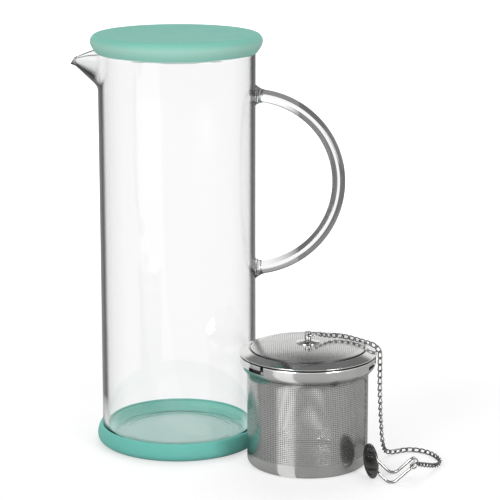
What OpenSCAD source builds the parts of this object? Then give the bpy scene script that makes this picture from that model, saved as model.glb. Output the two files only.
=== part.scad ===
// Fruit infuser pitcher: a glass jug with spout and handle in a silicone boot,
// its lid, and the steel infuser basket that stands beside it with its
// bayonet lid, chain and rim hook.
// Millimetres, +Z up. The origin is the middle of the boot's underside, on
// the jug's axis. The handle points to +X and the spout to -X.

/* [Glass] */
// Outside diameter of the glass tube
glass_d = 100; // [80:1:120]
// Thickness of the glass wall
glass_wall = 3; // [2:0.1:4]
// Thickness of the glass bottom
glass_bottom = 4; // [3:0.5:8]
// Height of the glass from its underside to the rim
glass_h = 252.8; // [200:0.1:300]
// Outside radius of the heel
heel_r = 7; // [5:0.5:8]
// Inside radius of the heel
inner_heel_r = 6; // [3:0.5:10]

/* [Spout] */
// Radius of the spout where it leaves the wall
spout_root_r = 16; // [12:0.5:20]
// Radius of the spout at its lip
spout_tip_r = 3.8; // [3:0.1:5]
// Reach of the cone from the wall to the lip
spout_reach = 13.6; // [9:0.1:18]
// Length of the lip past the cone
spout_lip = 3.6; // [1:0.1:5]
// Wall of the spout at its root, measured across the axis
spout_root_wall = 3.2; // [2:0.1:4]
// Wall of the spout at its lip
spout_tip_wall = 1.6; // [1:0.1:2]
// Depth of the spout's axis below the rim
spout_axis_drop = 5.4; // [4:0.1:8]
// How far the spout's edge dips below the rim at the lip
spout_dip = 4.4; // [2:0.1:6]
// Slope of the lip's end, in degrees
spout_end_slope = 55; // [40:1:80]

/* [Handle] */
// Diameter of the glass rod
handle_d = 8.5; // [6:0.5:12]
// Height between the middles of the rod's two ends
handle_span = 112.6; // [90:0.2:130]
// Depth of the upper end below the rim
handle_drop = 28.2; // [20:0.2:50]
// How far inside the wall's surface the half circle has its centre
handle_inset = 3; // [0:0.5:6]
// Diameter of the flared pad at each end
handle_pad_d = 13; // [12:0.5:18]
// Thickness of the pad's straight edge
handle_pad_edge = 1.5; // [0.5:0.1:3]

/* [Boot] */
// How far the boot stands out from the glass at its widest
boot_bulge = 3.5; // [2:0.1:8]
// Height of the boot
boot_h = 12; // [11:0.5:20]
// Height of the boot's widest point
boot_belly_z = 5; // [3:0.5:7]
// Thickness of the boot's floor
boot_floor = 3; // [2:0.5:5]
// Thickness of the boot's top lip
boot_lip = 0.9; // [0.6:0.1:1.6]

/* [Jug lid] */
// How far the lid's ridge stands out from the glass
lid_ridge = 4.6; // [2.6:0.1:8]
// How far the lid's lower edge stands out from the glass
lid_foot = 1.5; // [1.3:0.1:2.5]
// Height of the lid
lid_h = 11; // [9:0.5:16]
// Radius of the lid's rounded ridge
lid_round = 4; // [2:0.1:4.5]
// Depth of the lid's lip over the outside of the rim
lid_lip = 1.1; // [0.6:0.1:2]
// Depth of the dish in the lid's top
lid_dish = 1.2; // [0.4:0.1:2]
// Thickness of the lid's top
lid_top_t = 3.4; // [2:0.1:4.5]
// Width of the seal ring
seal_w = 2.6; // [2:0.1:5]
// Depth of the seal ring below the rim
seal_depth = 2.2; // [1.5:0.1:6]
// Depth of the seal ring's seat in the lid
seal_seat = 2.4; // [1.5:0.1:3.5]

/* [Basket] */
// Outside diameter of the basket's wall
basket_d = 76.4; // [60:0.2:90]
// Thickness of the steel sheet
sheet = 0.6; // [0.4:0.1:1]
// Height of the pressed pan
pan_h = 8; // [6:0.5:14]
// Radius of the pan's heel
pan_heel_r = 3.5; // [2:0.5:5]
// Width of the pan's foot ring
foot_w = 2.6; // [2:0.1:6]
// Height of the pan's floor above the table
pan_lift = 0.8; // [0.4:0.1:2]
// Height where the flare of the wall begins
flare_z = 56.5; // [45:0.5:70]
// Height of the flare
flare_h = 10.5; // [8:0.5:14]
// How far the flare stands out from the wall
flare_out = 4.8; // [3.6:0.1:7]
// Height of the straight collar above the flare
collar_h = 3.6; // [3:0.1:8]
// Bearing of the basket from the jug, in degrees
basket_bearing = -29.5; // [-60:0.1:-20]

/* [Infuser lid] */
// How far the flange stands out from the collar
flange_over = 0.4; // [0.2:0.1:2]
// Thickness of the flange's edge
flange_edge = 0.7; // [0.5:0.1:1.5]
// Width of the flange's slope
flange_w = 6.1; // [4:0.1:10]
// Rise of the flange's slope
flange_rise = 3; // [1.5:0.1:5]
// Width of the ledge that the dome lies on
ledge_w = 1.5; // [1:0.1:3]
// Depth of the ledge below the flange's crest
ledge_drop = 0.8; // [0.7:0.1:1.2]
// Rise of the dome from its edge to its top
dome_rise = 3.7; // [2:0.1:8]
// Depth of the skirt below the flange
skirt_h = 5.8; // [5.4:0.1:7]
// Diameter of a bayonet stud
stud_d = 2; // [1.6:0.1:2.4]
// Height of the studs above the skirt's lower edge
stud_lift = 1.6; // [1.3:0.1:2]
// Number of bayonet studs
stud_n = 3; // [2:1:4]
// Bearing of the first stud, in degrees
stud_bearing = -133; // [-180:1:180]
// Turn that locks the lid, in degrees
twist = 15; // [8:1:25]

/* [Finial] */
// Diameter of the washer on the dome
washer_d = 14.8; // [10:0.2:20]
// Thickness of the washer at its middle
washer_h = 1.4; // [0.8:0.1:2.5]
// Thickness of the washer's edge
washer_edge = 0.4; // [0.2:0.1:0.7]
// Diameter of the post
post_d = 4.2; // [4:0.1:7]
// Height of the post
post_h = 5.4; // [5:0.1:8]
// Depth of the cross hole's axis below the top of the post
eye_drop = 2.1; // [1.8:0.1:2.4]
// Diameter of the cross hole
eye_d = 2.2; // [2:0.1:2.4]
// Diameter of the rivet
rivet_d = 2; // [1.4:0.1:2.2]
// Diameter of the rivet's head
rivet_head_d = 5; // [4:0.2:8]

/* [Chain] */
// Distance from one link to the next
link_pitch = 4.2; // [3.8:0.1:5]
// Diameter of the links' wire
link_wire = 0.75; // [0.6:0.05:0.8]
// Clear width inside a link
link_w = 1.7; // [1.6:0.05:2]
// Bearing of the chain where it leaves the lid, in degrees
chain_bearing = 0; // [-25:1:10]
// Bearing of the ring through the post, in degrees
ring_bearing = 25; // [0:1:40]
// Mean radius of the ring through the post
post_ring_r = 3.4; // [3.2:0.1:4]
// Wire of the ring through the post
post_ring_wire = 0.9; // [0.7:0.05:1]
// Mean radius of the ring at the hook
hook_ring_r = 3.2; // [3:0.1:3.6]
// Wire of the ring at the hook
hook_ring_wire = 0.9; // [0.7:0.05:1]

/* [Hook] */
// Diameter of the hook's wire
hook_wire_d = 1.8; // [1.2:0.1:2.1]
// Width between the middles of the hook's two arms
hook_w = 19; // [12:0.5:20]
// Radius of the bend that goes over the rim
hook_bend_r = 5; // [3:0.5:8]
// Radius of the bends beside the hook's bar
hook_corner_r = 3; // [2:0.5:4]
// Slope of the arms towards the chain, in degrees
chain_arm_slope = 44; // [25:1:50]
// Length of the arms from the bend to the bar
chain_arm = 13.7; // [10:0.1:20]
// Slope of the arms towards the tag, in degrees
tag_arm_slope = 44; // [25:1:60]
// Diameter of the round tag
tag_d = 22; // [18:0.5:30]
// Thickness of the tag
tag_t = 1; // [0.6:0.1:2]
// Distance of the tag from the bend
tag_reach = 12.7; // [10:0.1:18]
// Turn of the tag from square to the arms, in degrees
tag_turn = 28; // [-30:1:30]
// Turn of the whole hook on the table, in degrees
hook_turn = -7; // [-20:1:20]
// Distance from the bar's middle to the chain's ring
hook_ring_v = -4; // [-5:0.5:5]

/* [Fits] */
// Gap between the boot and the glass
boot_gap = 0.3; // [0.1:0.05:0.6]
// Gap under a lid that rests on a rim
seat_gap = 0.2; // [0.1:0.05:0.5]
// Gap between the lid's lip and the glass
lip_gap = 0.4; // [0.2:0.05:0.6]
// Gap between the seal ring and the bore
seal_gap = 0.4; // [0.2:0.05:0.8]
// Gap between the seal ring and its seat
seal_seat_gap = 0.1; // [0:0.05:0.2]
// Gap between the skirt and the collar
skirt_gap = 0.8; // [0.4:0.05:1.2]
// Gap round a stud in its slot
slot_gap = 0.3; // [0.2:0.05:0.6]
// Gap between the dome and the flange
dome_gap = 0.3; // [0.1:0.05:0.5]
// Gap round the rivet
rivet_gap = 0.1; // [0.05:0.05:0.2]
// Gap round the rivet in the post that swivels on it
pivot_gap = 0.08; // [0.02:0.02:0.1]
// Gap between touching links
link_gap = 0.35; // [0.25:0.05:0.45]
// Gap between the flange and the glass beside it
basket_gap = 1.8; // [0.5:0.1:20]
// Height of what lies on the table above it
table_gap = 0.1; // [0.05:0.05:0.5]

/* [Hidden] */
$fn = 64;
WIRE_FN = 32;
ARC_STEPS = 8;
TEAL = [0.50, 0.76, 0.70];
PALE_TEAL = [0.66, 0.83, 0.78];
GLASS = [0.88, 0.94, 0.94, 0.4];
STEEL = [0.72, 0.73, 0.73];
DARK_STEEL = [0.45, 0.46, 0.46];

// Jug
glass_r = glass_d / 2;
bore_r = glass_r - glass_wall;
glass_z = boot_floor;
rim_z = glass_z + glass_h;
rim_round = glass_wall / 2;
inner_floor_z = glass_z + glass_bottom;
heel_x = glass_r - heel_r;

// Spout, along -X
spout_z = rim_z - spout_axis_drop;
spout_dig = 5;
spout_end = glass_r + spout_reach + spout_lip;
spout_cut_x = glass_r - spout_dig;
spout_cut_slope = atan(spout_dip / (spout_end - spout_cut_x));
spout_end_x = glass_r + spout_reach;
spout_end_z = rim_z - (spout_end_x - spout_cut_x) * tan(spout_cut_slope);

// Handle
handle_bow_r = handle_span / 2;
handle_mid_z = rim_z - handle_drop - handle_bow_r;
handle_pad_fillet = (handle_pad_d - handle_d) / 2;

// Boot
boot_r = glass_r + boot_bulge;
boot_bore_r = glass_r + boot_gap;
boot_lip_r = boot_bore_r + boot_lip;
boot_seat_r = heel_x - 1;
boot_shoulder = boot_h - boot_belly_z;
boot_draw = boot_r - boot_lip_r;
boot_side_r = (pow(boot_shoulder, 2) + pow(boot_draw, 2)) / (2 * boot_draw);

// Jug lid
lid_z = rim_z + seat_gap;
lid_top_z = lid_z + lid_h;
lid_ridge_r = glass_r + lid_ridge;
lid_foot_r = glass_r + lid_foot;
lid_foot_edge = 0.5;
lid_foot_z = lid_z - lid_lip;
lid_notch = 1.25 * spout_root_r;
seal_r = bore_r - seal_gap;
seal_in_r = seal_r - seal_w;

// Basket
basket_r = basket_d / 2;
basket_in_r = basket_r - sheet;
collar_r = basket_r + flare_out;
flare_top = flare_z + flare_h;
collar_top = flare_top + collar_h;
flare_bend_r = (pow(flare_h, 2) + pow(flare_out, 2)) / (4 * flare_out);
flare_turn = asin(flare_h / 2 / flare_bend_r);
pan_heel_x = basket_r - pan_heel_r;
pan_foot_x = pan_heel_x - foot_w;

// Infuser lid
flange_r = collar_r + flange_over;
flange_z = collar_top + seat_gap;
flange_top_z = flange_z + flange_edge;
crest_r = flange_r - flange_w;
crest_z = flange_top_z + flange_rise;
crest_w = 0.4;
ledge_z = crest_z - ledge_drop;
skirt_r = collar_r - sheet - skirt_gap;
skirt_z = flange_z - skirt_h;
stud_z = skirt_z + stud_lift;
slot_w = stud_d + 2 * slot_gap;
slot_margin = asin(slot_w / 2 / collar_r);
dome_r = crest_r - crest_w - dome_gap;
dome_seat = 0.05;
dome_edge_z = ledge_z + dome_seat + sheet;
dome_top_z = dome_edge_z + dome_rise;
dome_ball_r = (pow(dome_r, 2) + pow(dome_rise, 2)) / (2 * dome_rise);
dome_ball_z = dome_top_z - dome_ball_r;
basket_far = glass_r + basket_gap + flange_r;
basket_at = basket_far * [cos(basket_bearing), sin(basket_bearing), 0];

// Finial
rivet_hole_r = rivet_d / 2 + rivet_gap;
washer_top_z = dome_top_z + washer_h;
post_z = washer_top_z + seat_gap;
eye_z = post_z + post_h - eye_drop;
rivet_top_z = post_z + 1.2;
rivet_head_t = 1;
rivet_head_z = dome_top_z - sheet - rivet_gap - rivet_head_t;
post_bore_r = rivet_d / 2 + pivot_gap;
post_ring_back = 0.3;
post_ring_x = post_ring_r - post_ring_back;

// Chain. Each link reaches half a wire and half a gap past its two joints.
link_end_r = (link_w + link_wire) / 2;
link_half = (link_pitch + link_gap + link_wire) / 2;
link_rail = link_half - link_end_r;
link_reach = (link_gap + link_wire) / 2;
link_floor_z = link_end_r * sin(45) + link_wire / 2 + 2.5 * table_gap;
chain_foot_out = 1.04 * link_pitch;
chain_foot = beside_basket([flange_r + chain_foot_out, 0, chain_bearing]);
chain_start_x = 2 * post_ring_r - post_ring_back
    - (post_ring_wire + link_wire) / 2 - link_gap + link_reach;
route_steps = 10;

// Hook, with its own axes: U towards the chain, V across the arms
hook_at = chain_foot + link_pitch * [0.9, -8.46, 0];
hook_low_z = hook_wire_d / 2 + table_gap;
bar_u = hook_bend_r * sin(chain_arm_slope) + chain_arm * cos(chain_arm_slope);
bar_z = hook_low_z + hook_bend_r * (1 - cos(chain_arm_slope))
    + chain_arm * sin(chain_arm_slope);
tag_arm = tag_reach + tag_d / 2;
hook_lap = hook_wire_d / 8;
hook_bend_d = hook_wire_d * 0.97;
tag_z = tag_d / 2 + table_gap;
bar_grip_at = hook_at + turned([bar_u, hook_ring_v, 0], hook_turn) + [0, 0, bar_z];
// Where the chain pulls from, seen from the bar
pull_bearing = 42;
pull_slope = -20;
pull_way = [cos(pull_slope) * cos(pull_bearing), cos(pull_slope) * sin(pull_bearing), sin(pull_slope)];
// The bar goes through the ring at a slant, so it needs more room there
hook_ring_out = hook_ring_r - link_gap
    - (hook_ring_wire + hook_wire_d) / 2 / cos(pull_bearing - hook_turn);
chain_end_out = hook_ring_out + hook_ring_r
    - (hook_ring_wire + link_wire) / 2 - link_gap + link_reach;
chain_end = bar_grip_at + chain_end_out * pull_way;

// Route of the chain, in link pitches, so that it keeps its form when the links change.
// Over the lid and down the side its points are distances out from the basket's axis,
// heights and bearings. On the table they are steps from the place under the lower
// bend, with a rise above the height at which links lie.
lid_route = [
    [chain_start_x, eye_z, ring_bearing],
    [2.6 * link_pitch, eye_z - 0.36 * link_pitch, 29],
    [4 * link_pitch, dome_z(4 * link_pitch) + 0.64 * link_pitch, 33],
    [5.4 * link_pitch, dome_z(5.4 * link_pitch) + 0.58 * link_pitch, 31.5],
    [dome_r - 2.15 * link_pitch, dome_z(dome_r - 2.15 * link_pitch) + 0.56 * link_pitch, 24],
    [dome_r - link_pitch, dome_z(dome_r - link_pitch) + 0.56 * link_pitch, 13.5],
    [crest_r - 0.1 * link_pitch, crest_z + 0.56 * link_pitch, 5.5],
    [flange_r - 0.76 * link_pitch, crest_z + 0.5 * link_pitch, 1],
    [flange_r - 0.1 * link_pitch, flange_top_z + 0.86 * link_pitch, chain_bearing],
    [flange_r + 0.46 * link_pitch, flange_z + 0.22 * link_pitch, chain_bearing],
];
drop_route = [
    [flange_r + 0.5 * link_pitch, flange_z - 0.8 * link_pitch, chain_bearing],
    [flange_r + 0.51 * link_pitch, flange_z * 0.77, chain_bearing],
    [flange_r + 0.55 * link_pitch, flange_z * 0.64, chain_bearing],
    [flange_r + 0.64 * link_pitch, flange_z * 0.51, chain_bearing],
    [flange_r + 0.76 * link_pitch, flange_z * 0.38, chain_bearing],
    [flange_r + 0.9 * link_pitch, flange_z * 0.257, chain_bearing],
    [flange_r + chain_foot_out, 3.1 * link_pitch, chain_bearing],
];
floor_steps = [
    [0.2, 0.69, 1.53],
    [0.56, 1.69, 0.6],
    [1.37, 2.45, 0.1],
    [2.45, 3.19, 0],
    [3.45, 3.76, 0],
    [4.54, 4, 0],
    [5.61, 3.76, 0],
    [6.83, 3.02, 0],
    [7.8, 1.78, 0],
    [8.45, 0.07, 0],
    [8.66, -1.6, 0],
    [8.18, -3.12, 0.05],
    [7.42, -4.67, 0.4],
    [6.5, -6.2, 0.95],
    [5.3, -7.9, 1.65],
];
floor_route = [for (p = floor_steps) link_pitch * p + [0, 0, link_floor_z]];
chain_route = concat(
    [for (p = lid_route) beside_basket(p)],
    [for (p = drop_route) beside_basket(p)],
    [for (p = floor_route) chain_foot + p],
    [chain_end]);
edge_i = len(lid_route) - 1;
foot_i = edge_i + len(drop_route);
end_i = len(chain_route) - 1;

// Points of an arc about c, from angle a0 to a1, without its first "skip" points
function arc(c, r, a0, a1, skip = 0) = [
    for (i = [skip:ARC_STEPS])
        let (a = a0 + (a1 - a0) * i / ARC_STEPS) [c[0] + r * cos(a), c[1] + r * sin(a)]
];

// A vector turned about Z
function turned(v, a) = [v[0] * cos(a) - v[1] * sin(a), v[0] * sin(a) + v[1] * cos(a), v[2]];

// Place at a distance from the basket's axis, with a height and a bearing
function beside_basket(p) = basket_at + [p[0] * cos(p[2]), p[0] * sin(p[2]), p[1]];

// Height of the dome at a distance from its middle
function dome_z(out) = dome_ball_z + sqrt(pow(dome_ball_r, 2) - pow(out, 2));

// A point on the smooth curve through route points i and i + 1
function on_curve(i, t) =
    let (
        b = chain_route[i],
        c = chain_route[i + 1],
        a = i == 0 ? 2 * b - c : chain_route[i - 1],
        d = i + 1 == end_i ? 2 * c - b : chain_route[i + 2]
    )
    0.5 * (2 * b + (c - a) * t + (2 * a - 5 * b + 4 * c - d) * t * t
        + (3 * b - a - 3 * c + d) * t * t * t);

// Fine points of the curve between two route points
function stretch(from, to) = concat(
    [for (i = [from:to - 1]) for (k = [0:route_steps - 1]) on_curve(i, k / route_steps)],
    [chain_route[to]]);

// Distance along a row of points to each of them
function lengths(p) = [
    for (i = 0, s = 0; i < len(p); i = i + 1, s = s + (i < len(p) ? norm(p[i] - p[i - 1]) : 0)) s
];

// Joints of the links along a stretch, evenly spaced by about the pitch
function joints(p) =
    let (
        s = lengths(p),
        whole = s[len(s) - 1],
        n = round(whole / link_pitch),
        x = [for (i = [0:len(p) - 1]) [s[i], p[i][0]]],
        y = [for (i = [0:len(p) - 1]) [s[i], p[i][1]]],
        z = [for (i = [0:len(p) - 1]) [s[i], p[i][2]]]
    )
    [for (i = [0:n]) let (at = whole * i / n) [lookup(at, x), lookup(at, y), lookup(at, z)]];

lid_joints = joints(stretch(0, edge_i));
drop_joints = joints(stretch(edge_i, foot_i));
floor_joints = joints(stretch(foot_i, end_i));
lid_links = len(lid_joints) - 1;
drop_links = len(drop_joints) - 1;
floor_links = len(floor_joints) - 1;
link_count = lid_links + drop_links + floor_links;
link_ends = concat(
    [for (i = [0:lid_links - 1]) [lid_joints[i], lid_joints[i + 1]]],
    [for (i = [0:drop_links - 1]) [drop_joints[i], drop_joints[i + 1]]],
    [for (i = [0:floor_links - 1]) [floor_joints[i], floor_joints[i + 1]]]);
link_ways = [for (e = link_ends) (e[1] - e[0]) / norm(e[1] - e[0])];

// The part of a direction that is square to a way
function square_to(v, way) = let (s = v - (v * way) * way) s / norm(s);

// A direction square to the chain, carried along it without turning about it
link_sides = [
    for (i = 0, s = square_to([0, 0, 1], link_ways[0]); i < link_count;
        i = i + 1, s = square_to(s, link_ways[min(i, link_count - 1)])) s
];

// Slope and bearing of a way, and the lean about it that points +Z along a side
function slope_of(way) = atan2(way[2], norm([way[0], way[1]]));
function bearing_of(way) = atan2(way[1], way[0]);
function lean_of(i) =
    let (el = slope_of(link_ways[i]), az = bearing_of(link_ways[i]))
    atan2(
        -link_sides[i] * [-sin(az), cos(az), 0],
        link_sides[i] * [-sin(el) * cos(az), -sin(el) * sin(az), cos(el)]);

// Smallest angle equal to a, give or take whole periods
function wrapped(a, period) = a - period * round(a / period);

// Links take turns to lean left and right. The first stands upright in its flat
// ring, those in the middle lean by an eighth of a turn, as they lie on a table,
// and the last lies flat in its upright ring.
settle_links = 6;
last_link = link_count - 1;
flat_link = last_link - 2 * settle_links;
table_lean = 45 + wrapped(-lean_of(flat_link), 90);
end_lean = table_lean + wrapped(-lean_of(last_link) - 90 * link_count - table_lean, 180);
settling = [
    [0, 0], [settle_links, 45], [lid_links, 45], [lid_links + drop_links, table_lean],
    [last_link - settle_links, table_lean], [last_link, end_lean],
];

// Wire from the origin along +X
module rod(l, d) {
    rotate([0, 90, 0]) cylinder(h = l, d = d, $fn = WIRE_FN);
}

// Bent wire from the origin, heading +X and turning towards +Y
module bend(r, a, d) {
    translate([0, r, 0])
        rotate([0, 0, -90])
            rotate_extrude(angle = a) translate([r, 0]) circle(d = d, $fn = WIRE_FN);
}

// Closed ring of wire in the XY plane
module wire_ring(r, d) {
    rotate_extrude() translate([r, 0]) circle(d = d, $fn = WIRE_FN);
}

// One chain link along X, flat in the XY plane
module link() {
    for (side = [0, 1])
        mirror([side, 0, 0]) {
            translate([link_rail, -link_end_r, 0]) bend(link_end_r, 180, link_wire);
            translate([0, -link_end_r, 0]) rod(link_rail, link_wire);
            translate([0, link_end_r, 0]) rod(link_rail, link_wire);
        }
}

// Links of the chain from one number to another
module links(from, to) {
    for (i = [from:to])
        translate((link_ends[i][0] + link_ends[i][1]) / 2)
            rotate([
                lean_of(i) + 90 * (i + 1) + lookup(i, settling),
                -slope_of(link_ways[i]),
                bearing_of(link_ways[i])])
                link();
}

// Silicone boot: rounded below, drawn in to a thin lip against the glass
module base_boot() {
    color(TEAL)
        rotate_extrude()
            polygon(concat(
                [[0, 0]],
                arc([boot_r - boot_belly_z, boot_belly_z], boot_belly_z, -90, 0),
                arc([boot_r - boot_side_r, boot_belly_z], boot_side_r, 0,
                    asin(boot_shoulder / boot_side_r), 1),
                [[boot_bore_r, boot_h]],
                arc([heel_x, glass_z + heel_r], heel_r + boot_gap, 0, -90),
                [[boot_seat_r, glass_z - boot_gap], [boot_seat_r, glass_z], [0, glass_z]]));
}

// Turned shape of the jug without its spout
module glass_tube() {
    rotate_extrude()
        polygon(concat(
            [[0, glass_z]],
            arc([heel_x, glass_z + heel_r], heel_r, -90, 0),
            arc([glass_r - rim_round, rim_z - rim_round], rim_round, 0, 180),
            arc([bore_r - inner_heel_r, inner_floor_z + inner_heel_r], inner_heel_r, 0, -90),
            [[0, inner_floor_z]]));
}

// Cone of the spout and its lip, dug into the jug by "dig"
module spout_form(root_r, tip_r, dig, past) {
    grow = (root_r - tip_r) / spout_reach;
    translate([-glass_r + dig, 0, spout_z])
        rotate([0, -90, 0]) {
            cylinder(h = spout_reach + dig, r1 = root_r + grow * dig, r2 = tip_r);
            translate([0, 0, spout_reach + dig]) cylinder(h = spout_lip + past, r = tip_r);
        }
}

// Glass body with its pulled spout
module jug_glass() {
    big = 2 * glass_r;
    color(GLASS)
        difference() {
            union() {
                glass_tube();
                difference() {
                    intersection() {
                        spout_form(spout_root_r, spout_tip_r, spout_dig, 0);
                        translate([-spout_cut_x, 0, rim_z])
                            rotate([0, -spout_cut_slope, 0])
                                translate([-big, -big / 2, -big]) cube(big);
                        translate([-spout_end_x, 0, spout_end_z])
                            rotate([0, -spout_end_slope, 0])
                                translate([-big / 2, -big / 2, -big]) cube(big);
                    }
                    cylinder(h = rim_z + big, r = glass_r - rim_round);
                }
            }
            spout_form(spout_root_r - spout_root_wall, spout_tip_r - spout_tip_wall,
                spout_dig + glass_wall, 1);
        }
}

// Glass rod bent to a half circle, with a flared pad where each end meets the wall
module jug_handle() {
    edge = handle_pad_edge;
    color(GLASS)
        difference() {
            translate([glass_r - handle_inset, 0, handle_mid_z]) {
                rotate([90, 0, 0])
                    rotate([0, 0, -90])
                        rotate_extrude(angle = 180) translate([handle_bow_r, 0]) circle(d = handle_d);
                for (end = [-1, 1])
                    translate([handle_inset, 0, end * handle_bow_r])
                        rotate([0, 90, 0])
                            rotate_extrude()
                                polygon(concat(
                                    [[0, -1], [handle_pad_d / 2, -1]],
                                    arc([handle_pad_d / 2, edge + handle_pad_fillet],
                                        handle_pad_fillet, 270, 180),
                                    [[0, edge + handle_pad_fillet]]));
            }
            translate([0, 0, glass_z]) cylinder(h = glass_h, r = glass_r);
        }
}

// Lid: a shallow dished cap with a rounded ridge, hollow underneath. Its lip goes
// over the rim and leaves the spout free.
module lid_cap() {
    seat_z = lid_z + seal_seat;
    under_z = lid_top_z - lid_dish - lid_top_t;
    dish_r = lid_ridge_r - 2 * lid_round;
    lip_r = glass_r + lip_gap;
    color(TEAL)
        difference() {
            rotate_extrude()
                polygon(concat(
                    [[seal_r + seal_seat_gap, lid_z], [lip_r, lid_z], [lip_r, lid_foot_z],
                        [lid_foot_r - lid_foot_edge, lid_foot_z],
                        [lid_foot_r, lid_foot_z + lid_foot_edge]],
                    arc([lid_ridge_r - lid_round, lid_top_z - lid_round], lid_round, 0, 90),
                    [[dish_r, lid_top_z - lid_dish], [0, lid_top_z - lid_dish], [0, under_z],
                        [seal_in_r, under_z], [seal_in_r, seat_z],
                        [seal_r + seal_seat_gap, seat_z]]));
            translate([-glass_r - spout_reach, -lid_notch, lid_foot_z - lid_lip])
                cube([glass_r, 2 * lid_notch, 2 * lid_lip]);
        }
}

// Silicone ring that centres the lid in the bore
module lid_seal() {
    color(PALE_TEAL)
        rotate_extrude()
            polygon([
                [seal_in_r, rim_z - seal_depth], [seal_r, rim_z - seal_depth],
                [seal_r, lid_z + seal_seat], [seal_in_r, lid_z + seal_seat]]);
}

// Pressed pan that stands on a foot ring
module basket_pan() {
    heel = [pan_heel_x, pan_heel_r];
    color(STEEL)
        translate(basket_at)
            rotate_extrude()
                polygon(concat(
                    [[0, pan_lift], [pan_foot_x - pan_lift, pan_lift], [pan_foot_x, 0]],
                    arc(heel, pan_heel_r, -90, 0),
                    [[basket_r, pan_h], [basket_in_r, pan_h]],
                    arc(heel, pan_heel_r - sheet, 0, -90),
                    [[pan_foot_x + sheet, sheet], [pan_foot_x + sheet - pan_lift, pan_lift + sheet],
                        [0, pan_lift + sheet]]));
}

// Perforated wall, with the lower half of the flare
module basket_wall() {
    bend_at = [basket_r + flare_bend_r, flare_z];
    color(DARK_STEEL)
        translate(basket_at)
            rotate_extrude()
                polygon(concat(
                    [[basket_in_r, pan_h], [basket_r, pan_h]],
                    arc(bend_at, flare_bend_r, 180, 180 - flare_turn),
                    arc(bend_at, flare_bend_r + sheet, 180 - flare_turn, 180)));
}

// Collar with the upper half of the flare and the bayonet slots
module basket_collar() {
    bend_at = [collar_r - flare_bend_r, flare_top];
    color(STEEL)
        translate(basket_at)
            difference() {
                rotate_extrude()
                    polygon(concat(
                        arc(bend_at, flare_bend_r, -flare_turn, 0),
                        [[collar_r, collar_top], [collar_r - sheet, collar_top]],
                        arc(bend_at, flare_bend_r - sheet, 0, -flare_turn)));
                for (k = [0:stud_n - 1])
                    rotate([0, 0, stud_bearing + k * 360 / stud_n])
                        bayonet_slot();
            }
}

// Slot in the +X side of the collar: an entry from the top and a run to one side
module bayonet_slot() {
    deep = 4 * sheet;
    low = stud_z - slot_w / 2;
    translate([collar_r - deep, -slot_w / 2, low])
        cube([2 * deep, slot_w, collar_top - low + 1]);
    rotate([0, 0, -twist - slot_margin])
        rotate_extrude(angle = twist + slot_margin)
            translate([collar_r - deep, low]) square([2 * deep, slot_w]);
}

// Sloping rim of the infuser's lid, with a ledge for the dome and the skirt
module lid_flange() {
    crest_in_r = crest_r - crest_w;
    slope_under = sheet * 1.4;
    color(STEEL)
        translate(basket_at)
            rotate_extrude()
                polygon([
                    [flange_r, flange_z], [flange_r, flange_top_z],
                    [crest_r, crest_z], [crest_in_r, crest_z],
                    [crest_in_r, ledge_z], [crest_in_r - ledge_w, ledge_z],
                    [crest_in_r - ledge_w, ledge_z - sheet], [crest_r, ledge_z - sheet],
                    [skirt_r - sheet, flange_top_z + flange_rise / flange_w * (flange_r - skirt_r) - slope_under],
                    [skirt_r - sheet, skirt_z], [skirt_r, skirt_z], [skirt_r, flange_z]]);
}

// Studs that stand out of the skirt into the collar's slots
module bayonet_studs() {
    color(STEEL)
        translate(basket_at + [0, 0, stud_z])
            for (k = [0:stud_n - 1])
                rotate([0, 0, stud_bearing + k * 360 / stud_n])
                    difference() {
                        rod(collar_r, stud_d);
                        translate([0, 0, -stud_d]) cylinder(h = 2 * stud_d, r = skirt_r);
                    }
}

// Shallow perforated dome with a hole for the rivet
module lid_dome() {
    ball = [0, dome_ball_z];
    in_r = dome_ball_r - sheet;
    color(DARK_STEEL)
        translate(basket_at)
            rotate_extrude()
                polygon(concat(
                    arc(ball, dome_ball_r, acos(dome_r / dome_ball_r), acos(rivet_hole_r / dome_ball_r)),
                    arc(ball, in_r, acos(rivet_hole_r / in_r), acos(dome_r / in_r))));
}

// Low round washer on top of the dome
module finial_washer() {
    color(STEEL)
        translate(basket_at)
            rotate_extrude()
                polygon([
                    [rivet_hole_r, dome_top_z], [washer_d / 2, dome_top_z],
                    [washer_d / 2, dome_top_z + washer_edge],
                    [(washer_d + post_d) / 4, dome_top_z + (2 * washer_h + washer_edge) / 3],
                    [post_d / 2, washer_top_z], [rivet_hole_r, washer_top_z]]);
}

// Rivet that holds the washer and carries the post
module finial_rivet() {
    color(STEEL)
        translate(basket_at + [0, 0, rivet_head_z]) {
            cylinder(h = rivet_head_t, d = rivet_head_d);
            cylinder(h = rivet_top_z - rivet_head_z, d = rivet_d);
        }
}

// Post that swivels on the rivet, with a cross hole for the chain's ring
module finial_post() {
    color(STEEL)
        translate(basket_at)
            difference() {
                translate([0, 0, post_z]) {
                    cylinder(h = post_h - post_d / 8, d = post_d);
                    translate([0, 0, post_h - post_d / 8])
                        cylinder(h = post_d / 8, d1 = post_d, d2 = post_d * 3 / 4);
                }
                cylinder(h = rivet_top_z + slot_gap, r = post_bore_r);
                translate([0, 0, eye_z])
                    rotate([90, 0, ring_bearing])
                        translate([0, 0, -post_d]) cylinder(h = 2 * post_d, d = eye_d);
            }
}

// Ring through the post
module post_ring() {
    color(STEEL)
        translate(beside_basket([post_ring_x, eye_z, ring_bearing]))
            wire_ring(post_ring_r, post_ring_wire);
}

// Links over the lid
module chain_lid() {
    color(STEEL) links(0, lid_links - 1);
}

// Links that hang beside the basket
module chain_drop() {
    color(STEEL) links(lid_links, lid_links + drop_links - 1);
}

// Links on the table, up to the hook's ring
module chain_floor() {
    color(STEEL) links(lid_links + drop_links, last_link);
}

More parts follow.
